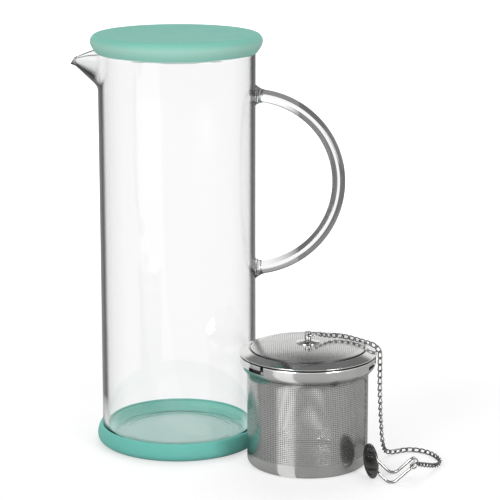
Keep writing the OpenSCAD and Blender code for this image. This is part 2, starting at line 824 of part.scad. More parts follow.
// Ring round the hook's bar, standing in line with the chain's pull
module hook_ring() {
    color(STEEL)
        translate(bar_grip_at + hook_ring_out * pull_way)
            rotate([0, -pull_slope, pull_bearing])
                rotate([90, 0, 0]) wire_ring(hook_ring_r, hook_ring_wire);
}

// Straight stretch of the hook's wire, which laps a little into the bends at its ends
module hook_rod(l) {
    translate([-hook_lap, 0, 0]) rod(l + 2 * hook_lap, hook_wire_d);
}

// One arm of the hook from the middle of the bend, heading +X and rising
module hook_arm(slope, l) {
    rotate([90, 0, 0]) bend(hook_bend_r, slope, hook_bend_d);
    translate([hook_bend_r * sin(slope), 0, hook_bend_r * (1 - cos(slope))])
        rotate([0, -slope, 0]) {
            hook_rod(l);
            translate([l, 0, 0]) children();
        }
}

// Both arms towards the chain, joined by the bar
module hook_loop() {
    arm = chain_arm - hook_corner_r;
    for (side = [0, 1])
        mirror([0, side, 0])
            translate([0, hook_w / 2, hook_low_z])
                hook_arm(chain_arm_slope, arm)
                    mirror([0, 1, 0]) bend(hook_corner_r, 90, hook_bend_d);
    translate([bar_u, hook_corner_r - hook_w / 2, bar_z])
        rotate([0, 0, 90]) hook_rod(hook_w - 2 * hook_corner_r);
}

// Moves what is made at the tag's middle, with the tag's back on X = 0, to the tag
module at_tag() {
    translate([-tag_reach, 0, tag_z]) rotate([0, 0, tag_turn]) children();
}

// Bent wire hook, with two arms ending flat on the tag's back
module hook_wire() {
    cut = 4 * tag_arm;
    color(STEEL)
        translate(hook_at)
            rotate([0, 0, hook_turn]) {
                hook_loop();
                for (side = [-1, 1])
                    difference() {
                        translate([0, side * hook_w / 2, hook_low_z])
                            mirror([1, 0, 0]) hook_arm(tag_arm_slope, tag_arm);
                        at_tag() translate([-cut, -cut / 2, -cut / 2]) cube(cut);
                    }
            }
}

// Round bare tag
module hook_tag() {
    color(DARK_STEEL)
        translate(hook_at)
            rotate([0, 0, hook_turn])
                at_tag() rotate([0, -90, 0]) cylinder(h = tag_t, d = tag_d);
}

base_boot();
jug_glass();
jug_handle();
lid_cap();
lid_seal();
basket_pan();
basket_wall();
basket_collar();
lid_flange();
bayonet_studs();
lid_dome();
finial_washer();
finial_rivet();
finial_post();
post_ring();
chain_lid();
chain_drop();
chain_floor();
hook_ring();
hook_wire();
hook_tag();
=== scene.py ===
"""Looks of a fruit infuser pitcher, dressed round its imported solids.

A glass jug stands in a silicone boot under a matte lid. Beside it stands the steel
infuser basket with its bayonet lid, chain and rim hook. Sizes are in millimetres
here, and the meshes are written in metres in the frame of the solids.
"""

import logging
import math
from dataclasses import dataclass, replace
from enum import Enum
from typing import Callable, Sequence

import bmesh
import bpy
import numpy as np
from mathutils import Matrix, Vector


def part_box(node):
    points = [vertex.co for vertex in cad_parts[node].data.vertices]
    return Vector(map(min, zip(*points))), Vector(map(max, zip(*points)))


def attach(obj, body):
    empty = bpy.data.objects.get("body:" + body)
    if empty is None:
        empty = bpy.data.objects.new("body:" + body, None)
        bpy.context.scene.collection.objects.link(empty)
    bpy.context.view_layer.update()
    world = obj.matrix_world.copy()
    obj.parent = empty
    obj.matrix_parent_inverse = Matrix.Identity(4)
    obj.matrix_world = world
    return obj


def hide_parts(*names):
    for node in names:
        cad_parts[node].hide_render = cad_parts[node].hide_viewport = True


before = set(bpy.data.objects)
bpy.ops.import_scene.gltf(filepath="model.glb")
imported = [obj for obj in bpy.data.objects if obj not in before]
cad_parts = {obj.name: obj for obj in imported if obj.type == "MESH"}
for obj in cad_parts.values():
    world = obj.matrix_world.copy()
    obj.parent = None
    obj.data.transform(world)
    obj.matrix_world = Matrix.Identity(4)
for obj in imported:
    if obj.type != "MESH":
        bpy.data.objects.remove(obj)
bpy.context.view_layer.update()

Pair = tuple[float, float]
Point = tuple[float, float, float]
Profile = list[Pair]
Key = tuple[int, int]
Piece = bpy.types.Object
Material = bpy.types.Material
Node = bpy.types.Node
Socket = bpy.types.NodeSocket

LOG = logging.getLogger("infuser_pitcher")
MM = 0.001
TINY = 1e-6
# Ramps run from 0 to 1, so they take lengths in tenths of a metre.
TENTHS = 10.0
# Stops of the soft patches between a finish's darker and lighter colour.
PATCHES = (0.3, 0.7)
# Angle from straight, in radians, below which a corner isn't rounded, and the most that a
# rounding takes of a side.
STRAIGHT = 0.01
CORNER_SHARE = 0.48
# Angles between faces, in degrees, above which an edge is sharp.
CRISP_EDGE = 35
PLAIN_EDGE = 40
SOFT_EDGE = 50
ROUND_EDGE = 60
# Corners of a square cell of perforated sheet, and the cell beyond each of its sides.
CELL = ((0, 0), (1, 0), (1, 1), (0, 1))
BESIDE = ((0, -1), (1, 0), (0, 1), (-1, 0))
# Places of a mix node's sockets for colours.
MIX_FACTOR, MIX_ONE, MIX_TWO = 0, 6, 7
MIX_RESULT = 2


class Body(Enum):
    """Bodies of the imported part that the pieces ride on."""

    BOOT = "boot"
    JUG = "jug"
    JUG_LID = "jug_lid"
    BASKET = "basket"
    CHAIN_EYE = "chain_eye"
    INFUSER_LID = "infuser_lid"
    CHAIN_HANG = "chain_hang"
    CHAIN_TAIL = "chain_tail"
    HOOK = "hook"


class Slot(Enum):
    """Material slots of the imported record."""

    BOOT = "boot"
    GLASS = "glass"
    CAP = "cap"
    SEAL = "seal"
    STEEL = "steel"
    PERFORATED = "perforated_steel"


def arc(centre: Pair, radius: float, start: float, end: float, steps: int) -> Profile:
    """Points along an arc.

    Args:
        centre: Middle of the arc.
        radius: Its radius.
        start: First angle, in degrees.
        end: Last angle, in degrees.
        steps: Number of stretches.

    Returns:
        The points, both ends among them.
    """
    angles = [math.radians(start + (end - start) * i / steps) for i in range(steps + 1)]
    return [(centre[0] + radius * math.cos(a), centre[1] + radius * math.sin(a)) for a in angles]


def spokes(count: int, start: float = 0.0) -> Profile:
    """Points evenly round a circle of radius 1, from a start angle in radians on."""
    turns = [start + 2 * math.pi * i / count for i in range(count)]
    return [(math.cos(a), math.sin(a)) for a in turns]


def rounded(corners: Sequence[Point], steps: int = 5) -> Profile:
    """Rounds the corners of a closed outline.

    Args:
        corners: Place of each corner and the radius that rounds it.
        steps: Stretches in each rounding.

    Returns:
        The outline's points.
    """
    outline: Profile = []
    for i, (x, y, radius) in enumerate(corners):
        here = Vector((x, y))
        back = Vector(corners[i - 1][:2]) - here
        ahead = Vector(corners[(i + 1) % len(corners)][:2]) - here
        angle = back.angle(ahead)
        if radius <= 0 or angle > math.pi - STRAIGHT:
            outline.append((x, y))
            continue
        most = CORNER_SHARE * min(back.length, ahead.length)
        cut = min(radius / math.tan(angle / 2), most)
        size = cut * math.tan(angle / 2)
        inward = (back.normalized() + ahead.normalized()).normalized()
        middle = here + inward * (size / math.sin(angle / 2))
        first = here + back.normalized() * cut - middle
        last = here + ahead.normalized() * cut - middle
        start = math.atan2(first.y, first.x)
        sweep = (math.atan2(last.y, last.x) - start + math.pi) % (2 * math.pi) - math.pi
        for k in range(steps + 1):
            a = start + sweep * k / steps
            outline.append((middle.x + size * math.cos(a), middle.y + size * math.sin(a)))
    return outline


def smooth_max(a: float, b: float, blend: float) -> float:
    """The larger of two values, rounded off where they are within a blend of each other."""
    h = max(blend - abs(a - b), 0.0) / blend
    return max(a, b) + h * h * blend / 4


def middle_of(node: str) -> Point:
    """Middle of a solid's box.

    Args:
        node: Name of the solid.

    Returns:
        The place, in millimetres.
    """
    low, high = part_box(node)
    x, y, z = ((a + b) / 2 / MM for a, b in zip(low, high))
    return x, y, z


def ease(t: float) -> float:
    """Smooth step from 0 to 1."""
    t = min(max(t, 0.0), 1.0)
    return t * t * (3 - 2 * t)


class Sketch:
    """Vertices and faces of one piece, in millimetres, before it becomes an object."""

    def __init__(self, origin: Point = (0, 0, 0)) -> None:
        """Starts an empty sketch.

        Args:
            origin: Place that its points are measured from.
        """
        self.origin = origin
        self.points: list[Point] = []
        self.faces: list[tuple[int, ...]] = []

    def point(self, x: float, y: float, z: float) -> int:
        """Adds a point and returns its number."""
        self.points.append((x, y, z))
        return len(self.points) - 1

    def strip(self, one: Sequence[int], two: Sequence[int], closed: bool) -> None:
        """Joins two rows of points with faces.

        Args:
            one: First row, or a single point.
            two: Second row, or a single point.
            closed: Whether the rows close on themselves.
        """
        count = max(len(one), len(two))
        for i in range(count if closed else count - 1):
            j = (i + 1) % count
            if len(one) == 1:
                self.faces.append((one[0], two[j], two[i]))
            elif len(two) == 1:
                self.faces.append((one[i], one[j], two[0]))
            else:
                self.faces.append((one[i], one[j], two[j], two[i]))

    def loft(self, rows: Sequence[Sequence[int]], looped: bool = False) -> None:
        """Joins closed rows of points, each with the next.

        Args:
            rows: The rows, of which any may be a single point.
            looped: Whether the last row is joined with the first.
        """
        after = [*rows[1:], rows[0]] if looped else rows[1:]
        for one, two in zip(rows, after):
            if len(one) > 1 or len(two) > 1:
                self.strip(one, two, True)

    def revolve(self, profile: Profile, turns: int) -> None:
        """Turns a closed outline about the vertical axis.

        Args:
            profile: Radius and height of its points.
            turns: Number of steps round the axis.
        """
        circle = spokes(turns)
        rows: list[list[int]] = []
        for r, z in profile:
            ways = circle if r > TINY else [(0.0, 0.0)]
            rows.append([self.point(r * x, r * y, z) for x, y in ways])
        self.loft(rows, looped=True)

    def rod(self, bearing: float, z: float, rows: Profile, sides: int) -> None:
        """Adds a level round rod that is closed at both ends.

        Args:
            bearing: Its direction, in degrees.
            z: Its height.
            rows: Places along it from the axis, and its radius there.
            sides: Number of its sides.
        """
        turn = math.radians(bearing)
        rings = []
        for out, size in rows:
            ring = []
            for across, up in spokes(sides):
                x = out * math.cos(turn) - size * across * math.sin(turn)
                y = out * math.sin(turn) + size * across * math.cos(turn)
                ring.append(self.point(x, y, z + size * up))
            rings.append(ring)
        self.loft(rings)
        self.faces += [tuple(rings[0]), tuple(rings[-1])]

    def make(self, name: str, sharp: float = PLAIN_EDGE) -> Piece:
        """Makes the object.

        Args:
            name: Name of the piece.
            sharp: Angle between faces, in degrees, above which an edge is sharp.

        Returns:
            The new object, in the scene.
        """
        mesh = bpy.data.meshes.new(name)
        ox, oy, oz = self.origin
        places = [((x + ox) * MM, (y + oy) * MM, (z + oz) * MM) for x, y, z in self.points]
        mesh.from_pydata(places, [], self.faces)
        work = bmesh.new()
        work.from_mesh(mesh)
        bmesh.ops.recalc_face_normals(work, faces=work.faces)
        work.to_mesh(mesh)
        work.free()
        mesh.shade_smooth()
        mesh.set_sharp_from_angle(angle=math.radians(sharp))
        piece = bpy.data.objects.new(name, mesh)
        bpy.context.scene.collection.objects.link(piece)
        return piece


def turned(name: str, profile: Profile, turns: int, sharp: float, origin: Point = (0, 0, 0)) -> Piece:
    """Makes a piece by turning a closed outline.

    Args:
        name: Name of the piece.
        profile: Radius and height of the outline's points.
        turns: Number of steps round the axis.
        sharp: Angle between faces, in degrees, above which an edge is sharp.
        origin: Place of the axis.

    Returns:
        The piece.
    """
    sketch = Sketch(origin)
    sketch.revolve(profile, turns)
    return sketch.make(name, sharp)


class Nodes:
    """Short way to build one node tree."""

    def __init__(self, tree: bpy.types.NodeTree) -> None:
        """Empties a tree.

        Args:
            tree: The tree to fill.
        """
        self.tree = tree
        tree.nodes.clear()

    def add(self, kind: str, **values: object) -> Node:
        """Adds a node.

        Args:
            kind: Blender's name of the node's type.
            **values: Attributes to set on it.

        Returns:
            The node.
        """
        node = self.tree.nodes.new(kind)
        for key, value in values.items():
            setattr(node, key, value)
        return node

    def link(self, source: Socket, target: Socket) -> None:
        """Joins two sockets."""
        self.tree.links.new(source, target)

    def math(self, operation: str, *inputs: object) -> Socket:
        """Adds a math node.

        Args:
            operation: Blender's name of the operation.
            *inputs: Numbers, or sockets to link.

        Returns:
            Its output.
        """
        node = self.add("ShaderNodeMath", operation=operation)
        for i, value in enumerate(inputs):
            if isinstance(value, Socket):
                self.link(value, node.inputs[i])
            else:
                node.inputs[i].default_value = value
        return node.outputs[0]

    def ramp(self, factor: Socket, stops: Sequence[tuple[float, object]]) -> Socket:
        """Adds a colour ramp.

        Args:
            factor: What drives it.
            stops: Places and grey levels or colours.

        Returns:
            Its colour output.
        """
        node = self.add("ShaderNodeValToRGB")
        elements = node.color_ramp.elements
        while len(elements) < len(stops):
            elements.new(0.5)
        for element, (place, value) in zip(elements, stops):
            element.position = place
            colour = value if isinstance(value, tuple) else (value, value, value)
            element.color = (*colour, 1)
        self.link(factor, node.inputs["Fac"])
        return node.outputs["Color"]

    def fade(self, factor: Socket, places: Pair, levels: tuple[object, object] = (0.0, 1.0)) -> Socket:
        """Adds a ramp between two places, with a grey level or colour at each."""
        return self.ramp(factor, list(zip(places, levels)))

    def axes(self, space: str) -> list[Socket]:
        """Adds the coordinates of the place that is shaded.

        Args:
            space: Blender's name of what they are measured in.

        Returns:
            The three coordinates.
        """
        place = self.add("ShaderNodeTexCoord")
        split = self.add("ShaderNodeSeparateXYZ")
        self.link(place.outputs[space], split.inputs[0])
        return list(split.outputs)

    def distance(self, a: Socket, b: Socket) -> Socket:
        """Distance of a place from the origin, from its two coordinates."""
        return self.math("SQRT", self.math("ADD", self.math("MULTIPLY", a, a), self.math("MULTIPLY", b, b)))

    def noise(self, scale: float, detail: float, stretch: Point = (1, 1, 1)) -> Socket:
        """Adds noise that is fixed to the object.

        Args:
            scale: Number of spots in a metre.
            detail: Number of finer layers.
            stretch: How much denser it is along each axis.

        Returns:
            Its value output.
        """
        place = self.add("ShaderNodeTexCoord")
        mapping = self.add("ShaderNodeMapping")
        mapping.inputs["Scale"].default_value = stretch
        self.link(place.outputs["Object"], mapping.inputs["Vector"])
        node = self.add("ShaderNodeTexNoise")
        node.inputs["Scale"].default_value = scale
        node.inputs["Detail"].default_value = detail
        self.link(mapping.outputs["Vector"], node.inputs["Vector"])
        return node.outputs["Fac"]

    def bump(self, shader: Node, height: Socket, strength: float, distance: float) -> None:
        """Raises a shader's surface by a pattern.

        Args:
            shader: The shader.
            height: The pattern.
            strength: Share of the bump that shows.
            distance: Its height, in metres.
        """
        node = self.add("ShaderNodeBump")
        node.inputs["Strength"].default_value = strength
        node.inputs["Distance"].default_value = distance
        self.link(height, node.inputs["Height"])
        self.link(node.outputs["Normal"], shader.inputs["Normal"])

    def roughen(self, shader: Node, pattern: Socket, middle: float, spread: float) -> None:
        """Lets a pattern vary a shader's roughness by a spread about its middle."""
        rough = self.math("MULTIPLY_ADD", pattern, spread, middle - spread / 2)
        self.link(rough, shader.inputs["Roughness"])


def shader_material(name: str, values: dict[str, object]) -> tuple[Material, Nodes, Node]:
    """Makes a material with one main shader.

    Args:
        name: Name of the material.
        values: Values of the shader's sockets.

    Returns:
        The material, its tree and the shader.
    """
    material = bpy.data.materials.new(name)
    material.use_nodes = True
    nodes = Nodes(material.node_tree)
    output = nodes.add("ShaderNodeOutputMaterial", name="output")
    shader = nodes.add("ShaderNodeBsdfPrincipled")
    for socket, value in values.items():
        shader.inputs[socket].default_value = value
    nodes.link(shader.outputs[0], output.inputs["Surface"])
    return material, nodes, shader


@dataclass(frozen=True)
class Glass:
    """Clear borosilicate glass whose edges carry painted shade, dark where the eye looks along the wall.

    Distances and heights are in tenths of a metre where nothing else is said.

    Attributes:
        name: Name of the material.
        fade: Distances from the jug's axis over which the painted edge shade comes in.
        edges: How far the glass turns away from the eye, and the share of light that the painted edge shade
            lets in.
        spout: The same for what lies further out than the tube's wall.
        spout_from: Distances from the axis over which the spout's painted edge shade comes in.
        bow: Middle, across and up, and radius of the bow in metres, where the glass is a bent rod.
        bow_share: Share of the painted edge shade that the outside of the bow keeps up to its ends.
        bow_edge: Distance beyond the bow's middle line over which that share comes in.
        foot: Heights over which the painted edge shade comes in above the thick bottom.
        foot_share: Share of the painted edge shade below these heights.
        tip: Share of light that painted shade takes at the thick end of the spout.
        tip_from: Distances from the axis over which that end begins.
        refraction: Index of refraction.
        tint: Colour that thick glass gives to light.
        density: How fast it gives that colour.
        waves: Number of soft waves in a metre.
        wave_stretch: How much denser they are along each axis.
        wave_strength: Share of the waves that shows.
        waviness: Height of the waves, in metres.
    """

    name: str
    fade: Pair
    edges: tuple[Pair, ...]
    spout: tuple[Pair, ...]
    spout_from: Pair = (0.508, 0.525)
    bow: Point | None = None
    bow_share: float = 0.95
    bow_edge: float = 0.006
    foot: Pair = (0.14, 0.34)
    foot_share: float = 0.2
    tip: float = 0.0
    tip_from: Pair = (0.63, 0.648)
    refraction: float = 1.47
    tint: Point = (0.4, 0.44, 0.43)
    density: float = 10.0
    waves: float = 28
    wave_stretch: Point = (1, 1, 0.12)
    wave_strength: float = 0.25
    waviness: float = 0.00008

    def share(self, nodes: Nodes, x: Socket, z: Socket, out: Socket) -> Socket:
        """Share of the painted edge shade that a place has.

        Args:
            nodes: The tree.
            x: The place across.
            z: Its height.
            out: Its distance from the jug's axis.

        Returns:
            The share.
        """
        share = nodes.fade(out, self.fade)
        if self.bow:
            across, up, radius = self.bow
            sides = [nodes.math("SUBTRACT", at, middle) for at, middle in ((x, across), (z, up))]
            off = nodes.math("MULTIPLY", nodes.distance(*sides), TENTHS)
            edge = TENTHS * radius
            outside = nodes.fade(off, (edge, edge + self.bow_edge), (0.0, self.bow_share))
            share = nodes.math("MAXIMUM", share, outside)
        rise = nodes.math("MULTIPLY", z, TENTHS)
        return nodes.math("MULTIPLY", share, nodes.fade(rise, self.foot, (self.foot_share, 1.0)))

    def light(self, nodes: Nodes, out: Socket) -> Socket:
        """Share of light that the painted edge shade lets in.

        Args:
            nodes: The tree.
            out: Distance of the place from the jug's axis.

        Returns:
            The share.
        """
        facing = nodes.add("ShaderNodeLayerWeight").outputs["Facing"]
        levels = []
        for stops in (self.edges, self.spout):
            levels.append(nodes.ramp(facing, [(at, let * let) for at, let in stops]))
        wall, spout = levels
        beyond = nodes.fade(out, self.spout_from)
        light = nodes.math("MULTIPLY_ADD", beyond, nodes.math("SUBTRACT", spout, wall), wall)
        return nodes.math("MULTIPLY", light, nodes.fade(out, self.tip_from, (1.0, 1 - self.tip)))

    def material(self) -> Material:
        """Makes the material.

        Returns:
            The material.
        """
        values = {"Roughness": 0.0, "IOR": self.refraction, "Transmission Weight": 1.0}
        material, nodes, shader = shader_material(self.name, values)
        x, y, z = nodes.axes("Object")
        out = nodes.math("MULTIPLY", nodes.distance(x, y), TENTHS)
        # The Base Color darkens towards grazing views and by place on the jug: painted shade for the dark
        # room that the glass's edges show.
        back = nodes.add("ShaderNodeNewGeometry").outputs["Backfacing"]
        share = nodes.math("MULTIPLY", self.share(nodes, x, z, out), nodes.math("SUBTRACT", 1.0, back))
        painted_edge_shade = nodes.math("MULTIPLY", nodes.math("SUBTRACT", 1.0, self.light(nodes, out)), share)
        nodes.link(nodes.math("SUBTRACT", 1.0, painted_edge_shade), shader.inputs["Base Color"])
        waves = nodes.noise(self.waves, detail=1.0, stretch=self.wave_stretch)
        nodes.bump(shader, waves, self.wave_strength, self.waviness)
        volume = nodes.add("ShaderNodeVolumeAbsorption")
        volume.inputs["Color"].default_value = (*self.tint, 1)
        volume.inputs["Density"].default_value = self.density
        nodes.link(volume.outputs[0], nodes.tree.nodes["output"].inputs["Volume"])
        return material


@dataclass(frozen=True)
class Silicone:
    """Soft translucent silicone or plastic with a fine moulded grain.

    Attributes:
        name: Name of the material.
        colour: Colour of its lighter patches.
        shade: Colour of its darker patches.
        roughness: Middle of its roughness.
        spread: How far apart the ends of its roughness are.
        depth: Share of light that goes under the surface.
        glow: How far each colour of light goes there.
        reach: Scale of these distances, in metres.
        sheen: Strength of its sheen.
        patches: Number of patches in a metre.
        specks: Number of specks of the grain in a metre.
        speck_strength: Share of the grain that shows.
        grain: Height of the grain, in metres.
        side: Paler colour painted on the upright side, where one is given: painted light for the lamps and
            floor that light it.
        side_z: Heights between which that side is, in metres.
        painted_light_shares: Places up the side, and the share of its painted light there.
    """

    name: str
    colour: Point
    shade: Point
    roughness: float = 0.5
    spread: float = 0.14
    depth: float = 0.35
    glow: Point = (0.9, 1.6, 1.45)
    reach: float = 0.004
    sheen: float = 0.08
    patches: float = 45
    specks: float = 2600
    speck_strength: float = 0.3
    grain: float = 0.00005
    side: Point | None = None
    side_z: Pair = (0.0, 0.0)
    painted_light_shares: tuple[Pair, ...] = ((0.0, 0.4), (0.3, 0.9), (0.55, 1.0), (0.8, 0.2), (0.95, 0.0))

    def material(self) -> Material:
        """Makes the material.

        Returns:
            The material.
        """
        values = {
            "Subsurface Weight": self.depth,
            "Subsurface Radius": self.glow,
            "Subsurface Scale": self.reach,
            "IOR": 1.41,
            "Specular IOR Level": 0.08,
            "Sheen Weight": self.sheen,
            "Sheen Roughness": 0.5,
        }
        material, nodes, shader = shader_material(self.name, values)
        colour = nodes.fade(nodes.noise(self.patches, detail=3.0), PATCHES, (self.shade, self.colour))
        # The upright side gets painted light, a paler colour up its middle.
        if self.side:
            colour = self.painted_light_side(nodes, colour)
        nodes.link(colour, shader.inputs["Base Color"])
        speck = nodes.noise(self.specks, detail=2.0)
        nodes.roughen(shader, speck, self.roughness, self.spread)
        nodes.bump(shader, speck, self.speck_strength, self.grain)
        return material

    def painted_light_side(self, nodes: Nodes, colour: Socket) -> Socket:
        """Paints light on the upright side, as a paler colour up its middle.

        Args:
            nodes: The tree.
            colour: The colour elsewhere.

        Returns:
            The colour with the side's own.
        """
        low, high = self.side_z
        _, _, z = nodes.axes("Object")
        rise = nodes.math("DIVIDE", nodes.math("SUBTRACT", z, low), high - low)
        mix = nodes.add("ShaderNodeMix", data_type="RGBA")
        nodes.link(nodes.ramp(rise, self.painted_light_shares), mix.inputs[MIX_FACTOR])
        nodes.link(colour, mix.inputs[MIX_ONE])
        mix.inputs[MIX_TWO].default_value = (*self.side, 1)
        return mix.outputs[MIX_RESULT]


@dataclass(frozen=True)
class Steel:
    """Polished stainless steel with fine polishing lines.

    Attributes:
        name: Name of the material.
        colour: Colour of its lighter patches.
        roughness: Middle of its roughness.
        spread: How far apart the ends of its roughness are.
        lines: How much denser the lines are along each axis.
        line_scale: Number of lines in a metre.
        line_strength: Share of the lines that shows.
        depth: Depth of the lines, in metres.
        patches: Number of patches in a metre.
        dim: Share of light in the darker patches.
    """

    name: str
    colour: Point = (0.74, 0.74, 0.73)
    roughness: float = 0.14
    spread: float = 0.1
    lines: Point = (1, 1, 14)
    line_scale: float = 420
    line_strength: float = 0.35
    depth: float = 0.000004
    patches: float = 60
    dim: float = 0.9

    def material(self) -> Material:
        """Makes the material.

        Returns:
            The material.
        """
        material, nodes, shader = shader_material(self.name, {"Metallic": 1.0, "IOR": 2.5})
        shade = tuple(c * self.dim for c in self.colour)
        colour = nodes.fade(nodes.noise(self.patches, detail=2.0), PATCHES, (shade, self.colour))
        nodes.link(colour, shader.inputs["Base Color"])
        lines = nodes.noise(self.line_scale, detail=3.0, stretch=self.lines)
        nodes.roughen(shader, lines, self.roughness, self.spread)
        nodes.bump(shader, lines, self.line_strength, self.depth)
        return material


class Finishes:
    """The materials of the part, each made once."""

    def __init__(self) -> None:
        """Makes all materials."""
        # Stops of the glass's painted edge shade: how far it turns from the eye, and the light it lets in.
        wall = ((0.3, 1.0), (0.48, 0.92), (0.58, 0.84), (0.66, 0.25), (0.7, 0.02), (0.85, 0.1))
        spout = ((0.3, 1.0), (0.42, 0.5), (0.5, 0.03), (0.9, 0.05))
        rod = ((0.03, 1.0), (0.042, 0.16), (0.7, 0.14), (0.9, 0.5))
        bow = (GlassJug.handle_x * MM, GlassJug.handle_z * MM, GlassJug.handle_radius * MM)
        self.glass = Glass("borosilicate_glass", (0.48, 0.488), wall, spout, tip=0.9).material()
        self.rod = Glass("rod_glass", (0.58, 0.78), rod, rod, bow=bow).material()

        boot = Silicone("boot_silicone", (0.145, 0.44, 0.385), (0.135, 0.425, 0.37), roughness=0.45)
        # The boot's inner wall is a paler copy of its silicone, painted light; its floor under the jug is a
        # darker copy, painted shade.
        inside = replace(boot, name="boot_inside_painted_light", colour=(0.25, 0.6, 0.52), shade=(0.23, 0.58, 0.5))
        floor = replace(boot, name="boot_floor", colour=(0.14, 0.42, 0.355), shade=(0.13, 0.4, 0.34))
        cap = Silicone("cap_plastic", (0.2, 0.5, 0.415), (0.185, 0.485, 0.4), depth=0.2, sheen=0.0)
        side_z = (JugLid.low_z * MM, JugLid.top_z * MM)
        self.boot = boot.material()
        self.boot_inside_painted_light = inside.material()
        self.boot_floor = floor.material()
        # The cap's paler upright side is painted light.
        self.cap = replace(cap, side=(0.3, 0.525, 0.45), side_z=side_z).material()
        self.seal = Silicone("seal_silicone", (0.5, 0.62, 0.58), (0.46, 0.58, 0.54)).material()

        wire = Steel("drawn_wire", (0.6, 0.6, 0.59), spread=0.08, lines=(1, 1, 1), line_scale=900)
        links = replace(wire, name="chain_wire", colour=(0.19, 0.19, 0.19), roughness=0.13, spread=0.1)
        self.sheet = Steel("pressed_steel").material()
        self.mesh = Steel("perforated_sheet", (0.66, 0.66, 0.65), roughness=0.2).material()
        # Near-black steel is painted shade, for the gap under the lid's flange and the groove round the dome.
        self.inside = Steel("painted_shade_steel", (0.07, 0.07, 0.07), roughness=0.34).material()
        self.wire = wire.material()
        self.links = links.material()
        self.plate = Steel("tag_steel", (0.24, 0.24, 0.235), spread=0.06).material()
        self.post = Steel("turned_post", (0.4, 0.4, 0.39), roughness=0.1, spread=0.06).material()


def dress(piece: Piece, material: Material, body: Body, slot: Slot, *nodes: str) -> None:
    """Gives a piece its material and body, and says which solids it stands for.

    Args:
        piece: The piece.
        material: Its material.
        body: The body that it rides on.
        slot: The record's slot, which is not used.
        *nodes: Solids that it replaces.
    """
    piece.data.materials.append(material)
    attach(piece, body.value)
    if nodes:
        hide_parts(*nodes)
    LOG.info("%s rides on %s and stands for %s", piece.name, body.value, ", ".join(nodes) or "no solid")


